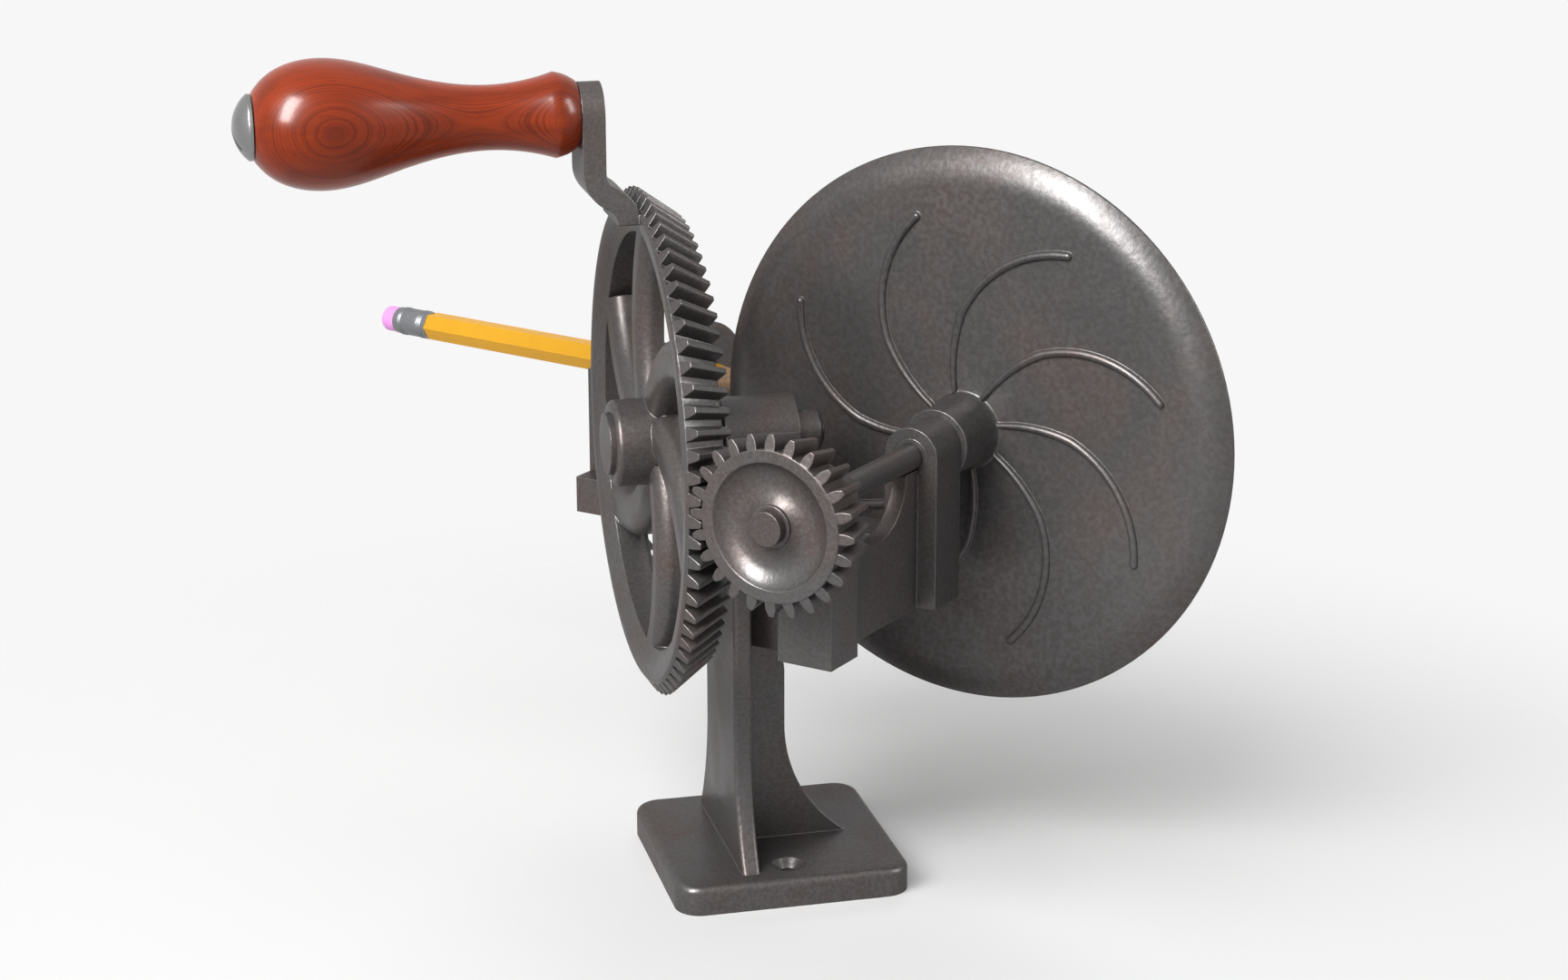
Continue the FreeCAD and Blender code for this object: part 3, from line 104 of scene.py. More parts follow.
def length(name, text, default):
    """A length that a user may change, in metres."""
    return FloatProperty(
        name=name, description=text, subtype="DISTANCE", unit="LENGTH", min=0, default=default)


class SharpenerSizes(bpy.types.PropertyGroup):
    """Small forms that the finishes add."""

    crease_angle: FloatProperty(
        name="Crease angle", description="Edges that turn more than this stay sharp", subtype="ANGLE",
        default=math.radians(32))
    edge_round: length("Edge round", "Radius of the softened casting edges", 0.0005)
    ferrule_wall: length("Ferrule wall", "Thickness of the ferrule's sheet", 0.0003)
    bead_height: length("Bead height", "How far a bead stands over the ferrule's wall", 0.00028)
    bead_pitch: length("Bead pitch", "Distance from one bead to the next", 0.00085)
    knurls: IntProperty(name="Knurls", description="Slanted ridges round the ferrule", default=40, min=8)
    knurl_height: length("Knurl height", "How far a slanted ridge stands out", 0.00014)
    disc_hub: length("Disc hub", "Radius of the grinding disc's hub", 0.0095)
    disc_flare: length("Disc flare", "Width of the flare round the solid disc's hub", 0.007)
    hub_fillet: length("Hub fillet", "Width that is left of the flare round the disc's hub", 0.0015)
    rib_reach: length("Rib reach", "Radius inside which the disc's ribs are drawn in to the hub", 0.032)
    axle_head: length("Axle head", "Radius of the crank axle's head", 0.0082)
    head_sink: length("Head sink", "How much flatter the axle's head is", 0.0008)
    cap_turn: FloatProperty(
        name="Cap turn", description="How far the handle's cap is screwed round", subtype="ANGLE",
        default=math.radians(-38))
    slot_width: length("Slot width", "Width of a screw head's slot", 0.0012)
    slot_depth: length("Slot depth", "Depth of a screw head's slot", 0.0011)


class SharpenerColours(bpy.types.PropertyGroup):
    """Colours of the finishes."""

    iron: colour("Iron", "Dark skin of the castings", (0.106, 0.102, 0.101))
    iron_rust: colour("Iron mottle", "Brown mottling in the castings' skin", (0.108, 0.075, 0.065))
    steel: colour("Steel", "Turned steel of the cap", (0.27, 0.275, 0.27))
    wood_dark: colour("Dark grain", "Dark growth lines of the handle", (0.075, 0.0095, 0.0035))
    wood_light: colour("Light grain", "Wood between the growth lines", (0.4, 0.048, 0.0092))
    paint: colour("Pencil paint", "Lacquer of the pencil's barrel", (0.84, 0.42, 0.018))
    cedar: colour("Cedar", "Bare wood of the pencil's point", (0.56, 0.33, 0.17))
    lead: colour("Lead", "The pencil's graphite core", (0.035, 0.035, 0.038))
    ferrule: colour("Ferrule", "Aluminium band", (0.2, 0.207, 0.217))
    eraser: colour("Eraser", "Rubber at the pencil's end", (0.97, 0.4, 0.92))
    grit: colour("Grit", "Abrasive paper", (0.2, 0.13, 0.08))
    floor: colour("Floor", "Pale studio floor", (0.93, 0.93, 0.93))


def sizes():
    """The sizes that the user has set."""
    return bpy.context.scene.sharpener_sizes


def colours():
    """The colours that the user has set."""
    return bpy.context.scene.sharpener_colours


def shade(rgb, factor=1.0):
    """An opaque shader colour from a property."""
    return (rgb[0] * factor, rgb[1] * factor, rgb[2] * factor, 1.0)


class Nodes:
    """A node tree that is being wired."""

    def __init__(self, tree):
        self.tree = tree

    def feed(self, socket, value):
        """Gives an input a value or the output of another node."""
        if isinstance(value, bpy.types.NodeSocket):
            self.tree.links.new(value, socket)
        else:
            socket.default_value = value

    def add(self, kind, values=None, **settings):
        """Adds a node with its settings and its inputs, each a value or another node's socket."""
        node = self.tree.nodes.new("ShaderNode" + kind)
        for key, value in settings.items():
            setattr(node, key, value)
        for key, value in (values or {}).items():
            self.feed(node.inputs[key], value)
        return node

    def math(self, operation, first, second=0.0):
        """The result of a calculation on two values."""
        return self.add("Math", {0: first, 1: second}, operation=operation).outputs[0]

    def ramp(self, value, low, high, start, end):
        """A value mapped from one range to another, and held at its ends."""
        values = {"Value": value, "From Min": low, "From Max": high, "To Min": start, "To Max": end}
        return self.add("MapRange", values).outputs["Result"]

    def mix(self, factor, first, second):
        """Two colours mixed by a factor."""
        node = self.add("Mix", data_type="RGBA")
        for index, value in ((0, factor), (6, first), (7, second)):
            self.feed(node.inputs[index], value)
        return node.outputs[2]


def effect(name, inputs, outputs):
    """An empty shader node group with named sockets, and its entry and exit."""
    tree = bpy.data.node_groups.new(name, "ShaderNodeTree")
    for label, kind, default in inputs:
        socket = tree.interface.new_socket(name=label, in_out="INPUT", socket_type="NodeSocket" + kind)
        if default is not None:
            socket.default_value = default
    for label, kind in outputs:
        tree.interface.new_socket(name=label, in_out="OUTPUT", socket_type="NodeSocket" + kind)
    entry = tree.nodes.new("NodeGroupInput")
    leave = tree.nodes.new("NodeGroupOutput")
    return Nodes(tree), entry, leave


def cast_skin():
    """Sand-cast skin: broad mottling, fine grain and small pits."""
    if "cast_skin" in bpy.data.node_groups:
        return bpy.data.node_groups["cast_skin"]
    work, entry, leave = effect(
        "cast_skin",
        [("Vector", "Vector", None), ("Mottle Scale", "Float", 55.0), ("Grain Scale", "Float", 900.0)],
        [("Mottle", "Float"), ("Cloud", "Float"), ("Speckle", "Float"), ("Height", "Float")])
    vector = entry.outputs["Vector"]
    broad = work.add("TexNoise", {"Vector": vector, "Scale": entry.outputs["Mottle Scale"], "Detail": 6.0,
                                  "Roughness": 0.62, "Distortion": 0.6})
    cloud_scale = work.math("MULTIPLY", entry.outputs["Mottle Scale"], 0.4)
    cloud = work.add("TexNoise", {"Vector": vector, "Scale": cloud_scale, "Detail": 3.0, "Roughness": 0.5})
    grain = work.add("TexNoise", {"Vector": vector, "Scale": entry.outputs["Grain Scale"], "Detail": 4.0,
                                  "Roughness": 0.6})
    pit_scale = work.math("MULTIPLY", entry.outputs["Grain Scale"], 0.55)
    pits = work.add("TexVoronoi", {"Vector": vector, "Scale": pit_scale, "Randomness": 1.0})
    dents = work.ramp(pits.outputs["Distance"], 0.05, 0.45, 0.0, 1.0)
    height = work.math("ADD", work.math("MULTIPLY", grain.outputs["Fac"], 0.7),
                       work.math("MULTIPLY", dents, 0.3))
    work.tree.links.new(work.ramp(broad.outputs["Fac"], 0.42, 0.68, 0.0, 1.0), leave.inputs["Mottle"])
    work.tree.links.new(work.ramp(cloud.outputs["Fac"], 0.35, 0.65, 0.0, 1.0), leave.inputs["Cloud"])
    work.tree.links.new(work.ramp(grain.outputs["Fac"], 0.4, 0.62, 0.0, 1.0), leave.inputs["Speckle"])
    work.tree.links.new(height, leave.inputs["Height"])
    return work.tree


def edge_wear():
    """Softened edges: a mask of the rubbed ones, broken up by noise, and their rounded normal."""
    if "edge_wear" in bpy.data.node_groups:
        return bpy.data.node_groups["edge_wear"]
    work, entry, leave = effect(
        "edge_wear", [("Vector", "Vector", None), ("Radius", "Float", 0.0006), ("Amount", "Float", 0.4)],
        [("Mask", "Float"), ("Normal", "Vector")])
    rounded = work.add("Bevel", {"Radius": entry.outputs["Radius"]}, samples=8)
    shape = work.add("NewGeometry")
    normals = {0: rounded.outputs["Normal"], 1: shape.outputs["Normal"]}
    turn = work.add("VectorMath", normals, operation="DOT_PRODUCT")
    edge = work.ramp(turn.outputs["Value"], 0.995, 0.84, 0.0, 1.0)
    breakup = work.add("TexNoise", {"Vector": entry.outputs["Vector"], "Scale": 260.0, "Detail": 4.0})
    broken = work.ramp(breakup.outputs["Fac"], 0.35, 0.65, 0.15, 1.0)
    mask = work.math("MULTIPLY", work.math("MULTIPLY", edge, broken), entry.outputs["Amount"])
    work.tree.links.new(mask, leave.inputs["Mask"])
    work.tree.links.new(rounded.outputs["Normal"], leave.inputs["Normal"])
    return work.tree


def new_finish(name):
    """A new material with its shader and Object coordinates."""
    finish = bpy.data.materials.new(name)
    finish.use_nodes = True
    work = Nodes(finish.node_tree)
    shader = finish.node_tree.nodes["Principled BSDF"]
    place = work.add("TexCoord").outputs["Object"]
    return finish, work, shader, place


def use_effect(work, group, **values):
    """Places a node group in a material with its own values."""
    node = work.add("Group", node_tree=group)
    for key, value in values.items():
        work.feed(node.inputs[key.replace("_", " ")], value)
    return node


def bump(work, shader, height, depth, strength=1.0, normal=None):
    """Feeds a height, with a depth in metres, into a shader's normal."""
    node = work.add("Bump", {"Height": height, "Distance": depth, "Strength": strength})
    if normal:
        work.tree.links.new(normal, node.inputs["Normal"])
    work.tree.links.new(node.outputs["Normal"], shader.inputs["Normal"])


def iron_finish(name, rub=0.3, grain=1100.0, rough=0.37, tone=1.0):
    """Dark cast iron with brown mottling, a sandy skin and rubbed edges."""
    finish, work, shader, place = new_finish(name)
    skin = use_effect(work, cast_skin(), Vector=place, Mottle_Scale=30.0, Grain_Scale=grain)
    worn = use_effect(work, edge_wear(), Vector=place, Radius=sizes().edge_round, Amount=rub)
    body = work.mix(work.math("MULTIPLY", skin.outputs["Mottle"], 0.9), shade(colours().iron, tone),
                    shade(colours().iron_rust, tone))
    clouded = work.mix(work.math("MULTIPLY", skin.outputs["Cloud"], 0.45), body,
                       shade(colours().iron, 0.6 * tone))
    sandy = work.mix(work.math("MULTIPLY", skin.outputs["Speckle"], 0.45), clouded,
                     shade(colours().iron, 1.4 * tone))
    tint = work.mix(worn.outputs["Mask"], sandy, shade(colours().iron, 2.2 * tone))
    work.tree.links.new(tint, shader.inputs["Base Color"])
    dull = work.ramp(skin.outputs["Mottle"], 0.0, 1.0, rough - 0.04, rough + 0.08)
    polished = work.math("SUBTRACT", dull, work.math("MULTIPLY", worn.outputs["Mask"], 0.1))
    work.tree.links.new(polished, shader.inputs["Roughness"])
    shader.inputs["Metallic"].default_value = 0.42
    shader.inputs["Specular IOR Level"].default_value = 0.1
    shader.inputs["Specular Tint"].default_value = (0.35, 0.35, 0.35, 1.0)
    bump(work, shader, skin.outputs["Height"], depth=0.00009, strength=0.75, normal=worn.outputs["Normal"])
    return finish


def steel_finish(name, tone=1.0, rough=0.34, metal=1.0):
    """Turned steel with fine scratches and a little tarnish."""
    finish, work, shader, place = new_finish(name)
    cloud = work.add("TexNoise", {"Vector": place, "Scale": 140.0, "Detail": 5.0, "Roughness": 0.6})
    stretch = work.add("Mapping", {"Vector": place, "Scale": (4000.0, 260.0, 260.0)})
    lines = work.add("TexNoise", {"Vector": stretch.outputs["Vector"], "Scale": 1.0, "Detail": 3.0})
    worn = use_effect(work, edge_wear(), Vector=place, Radius=0.0004, Amount=0.4)
    dim = work.ramp(cloud.outputs["Fac"], 0.35, 0.7, 0.0, 0.7)
    body = work.mix(dim, shade(colours().steel, tone), shade(colours().steel, tone * 0.6))
    tint = work.mix(worn.outputs["Mask"], body, shade(colours().steel, min(tone * 1.7, 2.0)))
    work.tree.links.new(tint, shader.inputs["Base Color"])
    dull = work.ramp(cloud.outputs["Fac"], 0.3, 0.7, rough - 0.08, rough + 0.1)
    work.tree.links.new(dull, shader.inputs["Roughness"])
    shader.inputs["Metallic"].default_value = metal
    bump(work, shader, lines.outputs["Fac"], depth=0.00003, strength=0.6, normal=worn.outputs["Normal"])
    return finish


def stretched_noise(work, place, scale, detail, rough=0.5):
    """Noise that is drawn out along the handle."""
    stretch = work.add("Mapping", {"Vector": place, "Scale": scale})
    values = {"Vector": stretch.outputs["Vector"], "Scale": 1.0, "Detail": detail, "Roughness": rough}
    return work.add("TexNoise", values)


def growth_line(work, depth, place, width, strength):
    """A dark line where a depth into the wood is reached."""
    away = work.math("ABSOLUTE", work.math("SUBTRACT", depth, place))
    return work.ramp(away, 0.0, width, strength, 0.0)


def wood_finish(node):
    """Varnished hardwood, whose growth layers show as ovals where the turning cuts through them."""
    finish, work, shader, place = new_finish("handle_wood")
    grain = Vector((0.06, -0.998, 0.02)).normalized()
    crown = max(vertex.co.dot(grain) for vertex in frame["nodes"][node].data.vertices)
    level = work.add("VectorMath", {0: place, 1: grain}, operation="DOT_PRODUCT").outputs["Value"]
    wander = stretched_noise(work, place, (32.0, 110.0, 110.0), 3.0)
    ripple = stretched_noise(work, place, (90.0, 420.0, 420.0), 2.0)
    wander_depth = 0.0006
    ripple_depth = 0.00012
    warp = work.math("ADD", work.math("MULTIPLY", wander.outputs["Fac"], wander_depth),
                     work.math("MULTIPLY", ripple.outputs["Fac"], ripple_depth))
    inward = work.math("SUBTRACT", crown, level)
    depth = work.math("ADD", inward, work.math("SUBTRACT", warp, (wander_depth + ripple_depth) / 2))
    layers_per_metre = 3800.0
    layer = work.math("MULTIPLY", depth, layers_per_metre)
    layers = work.add("TexNoise", {"W": layer, "Scale": 1.0, "Detail": 3.0}, noise_dimensions="1D")
    line = work.ramp(layers.outputs["Fac"], 0.47, 0.66, 0.0, 0.5)
    ring = work.math("MAXIMUM", growth_line(work, depth, place=0.00102, width=0.00011, strength=0.55),
                     growth_line(work, depth, place=0.0047, width=0.0003, strength=0.5))
    fibre = stretched_noise(work, place, (150.0, 3000.0, 3000.0), 4.0, 0.65)
    streak = stretched_noise(work, place, (16.0, 240.0, 240.0), 3.0)
    dark = shade(colours().wood_dark)
    base = work.mix(work.ramp(streak.outputs["Fac"], 0.36, 0.66, 0.0, 0.75), shade(colours().wood_light),
                    shade(colours().wood_light, 0.6))
    lined = work.mix(line, work.mix(ring, base, dark), dark)
    tint = work.mix(work.ramp(fibre.outputs["Fac"], 0.56, 0.72, 0.0, 0.4), lined, dark)
    work.tree.links.new(tint, shader.inputs["Base Color"])
    work.tree.links.new(work.ramp(fibre.outputs["Fac"], 0.3, 0.7, 0.26, 0.34), shader.inputs["Roughness"])
    shader.inputs["Specular IOR Level"].default_value = 0.12
    shader.inputs["Coat Weight"].default_value = 0.22
    shader.inputs["Coat Roughness"].default_value = 0.17
    bump(work, shader, fibre.outputs["Fac"], depth=0.00002, strength=0.4)
    return finish


def paint_finish():
    """Thick yellow pencil lacquer."""
    finish, work, shader, place = new_finish("pencil_lacquer")
    peel = work.add("TexNoise", {"Vector": place, "Scale": 500.0, "Detail": 2.0})
    blotch = work.add("TexNoise", {"Vector": place, "Scale": 70.0, "Detail": 3.0})
    fade = work.ramp(blotch.outputs["Fac"], 0.35, 0.7, 0.0, 0.2)
    tint = work.mix(fade, shade(colours().paint), shade(colours().paint, 0.8))
    work.tree.links.new(tint, shader.inputs["Base Color"])
    work.tree.links.new(work.ramp(peel.outputs["Fac"], 0.3, 0.7, 0.36, 0.46), shader.inputs["Roughness"])
    shader.inputs["Specular IOR Level"].default_value = 0.2
    bump(work, shader, peel.outputs["Fac"], depth=0.000006, strength=0.5)
    return finish


def cedar_finish():
    """Bare cedar, cut by the disc."""
    finish, work, shader, place = new_finish("pencil_cedar")
    fibre = work.add("TexNoise", {"Vector": place, "Scale": 1400.0, "Detail": 4.0})
    dim = work.ramp(fibre.outputs["Fac"], 0.4, 0.65, 0.0, 0.8)
    tint = work.mix(dim, shade(colours().cedar), shade(colours().cedar, 0.5))
    work.tree.links.new(tint, shader.inputs["Base Color"])
    shader.inputs["Roughness"].default_value = 0.8
    bump(work, shader, fibre.outputs["Fac"], depth=0.00008)
    return finish


def speckled_finish(name, rgb, scale, rough, depth, spread=0.6, metal=0.0):
    """A plain material broken up by fine speckles."""
    finish, work, shader, place = new_finish(name)
    speck = work.add("TexNoise", {"Vector": place, "Scale": scale, "Detail": 5.0, "Roughness": 0.65})
    mask = work.ramp(speck.outputs["Fac"], 0.38, 0.64, 0.0, 1.0)
    work.tree.links.new(work.mix(mask, shade(rgb), shade(rgb, spread)), shader.inputs["Base Color"])
    dull = work.ramp(speck.outputs["Fac"], 0.3, 0.7, rough - 0.08, rough + 0.08)
    work.tree.links.new(dull, shader.inputs["Roughness"])
    shader.inputs["Metallic"].default_value = metal
    bump(work, shader, speck.outputs["Fac"], depth)
    return finish


def body_of(node):
    """The body that a CAD node belongs to."""
    return [body for body, members in BODIES.items() if node in members][0]


def node_copy(node):
    """A merged copy of a CAD node's mesh, to be worked on."""
    work = bmesh.new()
    work.from_mesh(frame["nodes"][node].data)
    bmesh.ops.remove_doubles(work, verts=work.verts, dist=MERGE_DISTANCE)
    return work


def crease(work, angle):
    """Smooths a mesh and keeps its sharp edges sharp."""
    for face in work.faces:
        face.smooth = True
    for edge in work.edges:
        edge.smooth = edge.calc_face_angle(0.0) < angle


def finished(name, work, node, finishes):
    """Makes a mesh into a piece that stands for a CAD node and rides on its body."""
    mesh = bpy.data.meshes.new(name)
    work.to_mesh(mesh)
    work.free()
    for finish in finishes:
        mesh.materials.append(finish)
    piece = bpy.data.objects.new(name, mesh)
    bpy.context.scene.collection.objects.link(piece)
    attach(piece, body_of(node))
    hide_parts(node)
    return piece


def dressed(node, finish):
    """A smooth copy of a CAD node with a finish."""
    work = node_copy(node)
    crease(work, sizes().crease_angle)
    return finished("dressed_" + node, work, node, [finish])


def turned(profile, segments=160):
    """A closed ring turned round Z from the (radius, height) corners of its section."""
    work = bmesh.new()
    verts = [work.verts.new((radius, 0.0, height)) for radius, height in profile]
    edges = [work.edges.new(pair) for pair in zip(verts, verts[1:] + verts[:1])]
    bmesh.ops.spin(work, geom=verts + edges, cent=(0, 0, 0), axis=(0, 0, 1), angle=2 * math.pi,
                   steps=segments, use_merge=True, use_duplicate=False)
    bmesh.ops.remove_doubles(work, verts=work.verts, dist=SEAM_DISTANCE)
    bmesh.ops.recalc_face_normals(work, faces=work.faces)
    sort_faces(work)
    return work


def sort_faces(work):
    """Puts the faces in the order of their vertices, because a spin leaves them in another one each run."""
    work.verts.index_update()
    count = len(work.verts)

    def rank(face):
        numbers = [vert.index for vert in face.verts]
        return min(numbers) * count + max(numbers)

    work.faces.sort(key=rank)


def settle(work, origin, forward):
    """Moves a mesh whose own Z is its axis to a point and a direction."""
    ahead = Vector(forward).normalized()
    side = Vector((0, 0, 1)).cross(ahead).normalized()
    place = Matrix((side, ahead.cross(side), ahead)).transposed().to_4x4()
    place.translation = Vector(origin)
    bmesh.ops.transform(work, matrix=place, verts=work.verts)


def along_axis(corners, direction):
    """The point of a round piece's axis at height zero, and the piece's start and end along the axis."""
    reach = [corner.dot(direction) for corner in corners]
    side = direction.orthogonal().normalized()
    middle = Vector((0.0, 0.0, 0.0))
    for way in (side, direction.cross(side)):
        spread = [corner.dot(way) for corner in corners]
        middle += way * (max(spread) + min(spread)) / 2
    return middle, min(reach), max(reach)


def islands(work):
    """The separate pieces of a mesh, each as a list of vertices."""
    left = dict.fromkeys(work.verts)
    found = []
    while left:
        island = [left.popitem()[0]]
        for vert in island:
            for edge in vert.link_edges:
                other = edge.other_vert(vert)
                if other in left:
                    del left[other]
                    island.append(other)
        found.append(island)
    return found


def slotted(work, island, upward, across):
    """Cuts a straight slot into the head of a screw, which is at its upper end."""
    width, depth = sizes().slot_width, sizes().slot_depth
    middle, _, top = along_axis([vert.co for vert in island], upward)
    crown = middle + upward * top
    sideways = upward.cross(across).normalized()
    faces = dict.fromkeys(face for vert in island for face in vert.link_faces)
    half = sideways * width / 2
    planes = ((crown + half, sideways), (crown - half, sideways), (crown - upward * depth, upward))
    for point, normal in planes:
        edges = dict.fromkeys(edge for face in faces for edge in face.edges)
        verts = dict.fromkeys(vert for face in faces for vert in face.verts)
        result = bmesh.ops.bisect_plane(work, geom=list(verts) + list(edges) + list(faces),
                                        dist=SEAM_DISTANCE, plane_co=point, plane_no=normal)
        faces = [item for item in result["geom"] if isinstance(item, bmesh.types.BMFace)]
    gone = []
    for face in faces:
        offset = face.calc_center_median() - crown
        if abs(offset.dot(sideways)) < width / 2 and offset.dot(upward) > -depth:
            gone.append(face)
    bmesh.ops.delete(work, geom=gone, context="FACES")
    rims = [edge for edge in work.edges if edge.is_boundary]
    for sign in (1, -1):
        side = crown + sign * half
        wall = [edge for edge in rims
                if all(abs((vert.co - side).dot(sideways)) < MERGE_DISTANCE for vert in edge.verts)]
        ends = [vert for edge in wall for vert in edge.verts]
        ends = [vert for vert in ends if ends.count(vert) == 1]
        bmesh.ops.edgeloop_fill(work, edges=wall + [work.edges.new(ends)])
    bmesh.ops.holes_fill(work, edges=[edge for edge in work.edges if edge.is_boundary], sides=0)


def slotted_screws(node, finish, upward, across):
    """The screws of a CAD node, with a slot in each head."""
    work = node_copy(node)
    for island in islands(work):
        slotted(work, island, Vector(upward), Vector(across))
    bmesh.ops.recalc_face_normals(work, faces=work.faces)
    crease(work, sizes().crease_angle)
    return finished("slotted_" + node, work, node, [finish])


def ferrule_section(span, radius):
    """The (radius, height) corners of the ferrule's wall: plain rims, bands of beads and a knurled middle."""
    wall, tall, pitch = sizes().ferrule_wall, sizes().bead_height, sizes().bead_pitch
    low = radius - tall
    corners = [(low - wall, 0.0), (low, 0.0), (low + 0.1 * tall, span * RIM_SHARES[0])]
    for share, count in BEAD_BANDS:
        start = span * share
        for bead in range(count):
            for step in range(9):
                turn = math.pi * step / 8
                corners.append((low + tall * math.sin(turn), start + pitch * (bead + step / 9)))
        if start < span / 2:
            first = start + pitch * count
            last = span * BEAD_BANDS[1][0] - pitch * 0.1
            corners += [(low, first + (last - first) * step / 12) for step in range(1, 12)]
    return corners + [(low + 0.1 * tall, span * RIM_SHARES[1]), (low, span), (low - wall, span)]


def knurled(work, span, radius):
    """Raises slanted ridges between the ferrule's bands of beads."""
    low = radius - sizes().bead_height
    share, count = BEAD_BANDS[0]
    first = span * share + sizes().bead_pitch * count
    last = span * BEAD_BANDS[1][0]
    for vert in work.verts:
        away = math.hypot(vert.co.x, vert.co.y)
        if abs(away - low) > WALL_TOLERANCE or not first < vert.co.z < last:
            continue
        turn = math.atan2(vert.co.y, vert.co.x) * sizes().knurls + KNURL_SLANT * vert.co.z
        fade = min(1.0, (vert.co.z - first) / KNURL_FADE, (last - vert.co.z) / KNURL_FADE)
        grown = (away + sizes().knurl_height * fade * (0.5 + 0.5 * math.cos(turn))) / away
        vert.co.x *= grown
        vert.co.y *= grown


class SHARPENER_OT_castings(bpy.types.Operator):
    """Dress the stand, the bearing frame and the pencil guide as dark cast iron"""

    bl_idname = "sharpener.castings"
    bl_label = "Castings"

    def execute(self, context):
        skin = iron_finish("cast_iron")
        for node in ("stand", "bearing_frame", "pencil_guide"):
            dressed(node, skin)
        return {"FINISHED"}


class SHARPENER_OT_gears(bpy.types.Operator):
    """Dress the crank gear and the pinion"""

    bl_idname = "sharpener.gears"
    bl_label = "Gears"

    def execute(self, context):
        skin = iron_finish("gear_iron", rub=0.45, rough=0.36, tone=1.1)
        for node in ("crank_gear", "bevel_pinion"):
            dressed(node, skin)
        return {"FINISHED"}


class SHARPENER_OT_disc(bpy.types.Operator):
    """Dress the grinding disc, its abrasive paper, and the washer and nut that clamp it"""

    bl_idname = "sharpener.disc"
    bl_label = "Grinding disc"

    def execute(self, context):
        self.disc(iron_finish("disc_iron", rub=0.35, grain=700.0, rough=0.38))
        grit = speckled_finish(
            "abrasive_grit", colours().grit, scale=1500.0, rough=0.85, depth=0.0003, spread=0.35)
        dressed("abrasive_paper", grit)
        clamp = steel_finish("clamp_steel", tone=0.5, rough=0.4)
        for node in ("clamp_washer", "clamp_nut"):
            dressed(node, clamp)
        return {"FINISHED"}

    def disc(self, finish):
        """The disc, with its ribs drawn in to a plain round hub."""
        work = node_copy("grinding_disc")
        axis = Vector(JOINTS["wheel_spin"]["axis"]).normalized()
        apex = Vector(JOINTS["wheel_spin"]["pos_m"])
        for vert in work.verts:
            along = apex + axis * (vert.co - apex).dot(axis)
            outward = vert.co - along
            if sizes().disc_hub < outward.length < sizes().rib_reach:
                vert.co = along + outward * (self.drawn_in(outward.length) / outward.length)
        work.normal_update()
        crease(work, sizes().crease_angle)
        return finished("ribbed_grinding_disc", work, "grinding_disc", [finish])

    def drawn_in(self, radius):
        """The radius at which a point near the disc's hub comes to lie."""
        hub, flare = sizes().disc_hub, sizes().disc_flare
        fillet, reach = sizes().hub_fillet, sizes().rib_reach
        if radius < hub + flare:
            return hub + (radius - hub) * fillet / flare
        share = (radius - hub - flare) / (reach - hub - flare)
        return hub + fillet + (reach - hub - fillet) * share


class SHARPENER_OT_shafts(bpy.types.Operator):
    """Dress the axle, the disc shaft, their bushes, collars, washers and pins, and make the slotted screws"""

    bl_idname = "sharpener.shafts"
    bl_label = "Shafts and fittings"

    def execute(self, context):
        dark = iron_finish("shaft_iron", rub=0.4, grain=1400.0, rough=0.34)
        for node in ("axle_pin", "axle_washer", "axle_collar", "collar_pin", "disc_shaft", "pinion_pin",
                     "disc_pin", "axle_bush", "front_shaft_bush", "rear_shaft_bush"):
            dressed(node, dark)
        self.axle(dark)
        slotted_screws("frame_screws", dark, upward=(-1, 0, 0), across=(0, 0.5, 0.87))
        slotted_screws("guide_screws", dark, upward=(0, 0, -1), across=(0.3, 0.95, 0))
        return {"FINISHED"}

    def axle(self, finish):
        """The crank's axle, with a broad flat head that fills the hub's recess."""
        work = node_copy("gear_axle")
        height = JOINTS["crank_turn"]["pos_m"][2]
        front = min(vert.co.x for vert in work.verts)
        rim = sizes().axle_head - AXLE_RIM_BAND
        for vert in work.verts:
            away = math.hypot(vert.co.y, vert.co.z - height)
            if away > rim:
                grown = (sizes().axle_head + away - SOLID_AXLE_HEAD) / away
                vert.co.y *= grown
                vert.co.z = height + (vert.co.z - height) * grown
            if vert.co.x < front + AXLE_FACE_DEPTH:
                vert.co.x += sizes().head_sink
        crease(work, sizes().crease_angle)
        return finished("headed_gear_axle", work, "gear_axle", [finish])


class SHARPENER_OT_handle(bpy.types.Operator):
    """Dress the wooden grip, its spindle and its slotted cap"""

    bl_idname = "sharpener.handle"
    bl_label = "Handle"

    def execute(self, context):
        dressed("handle_grip", wood_finish("handle_grip"))
        bright = steel_finish("cap_steel", rough=0.3)
        dressed("handle_spindle", bright)
        self.cap(bright)
        return {"FINISHED"}

    def cap(self, finish):
        """The domed cap, screwed round a little, with a slot whose walls and floor are painted dark as shade."""
        work = node_copy("handle_cap")
        # The slot's wall and floor faces take the second material, which paints shade into the recess.
        for face in work.faces:
            near_slot = abs(face.calc_center_median().y) < CAP_SLOT_REACH
            on_wall = near_slot and abs(face.normal.y) > CAP_WALL_NORMAL
            on_floor = face.normal.x < CAP_FLOOR_NORMAL
            face.material_index = 1 if on_wall or on_floor else 0
        turn = Matrix.Rotation(sizes().cap_turn, 3, "X")
        bmesh.ops.rotate(work, cent=JOINTS["grip_spin"]["pos_m"], matrix=turn, verts=work.verts)
        crease(work, sizes().crease_angle)
        # Near-black steel: painted shade for the slot's walls and floor.
        shadowed = steel_finish("slot_painted_shade", tone=0.1, rough=0.6, metal=0.3)
        return finished("turned_handle_cap", work, "handle_cap", [finish, shadowed])


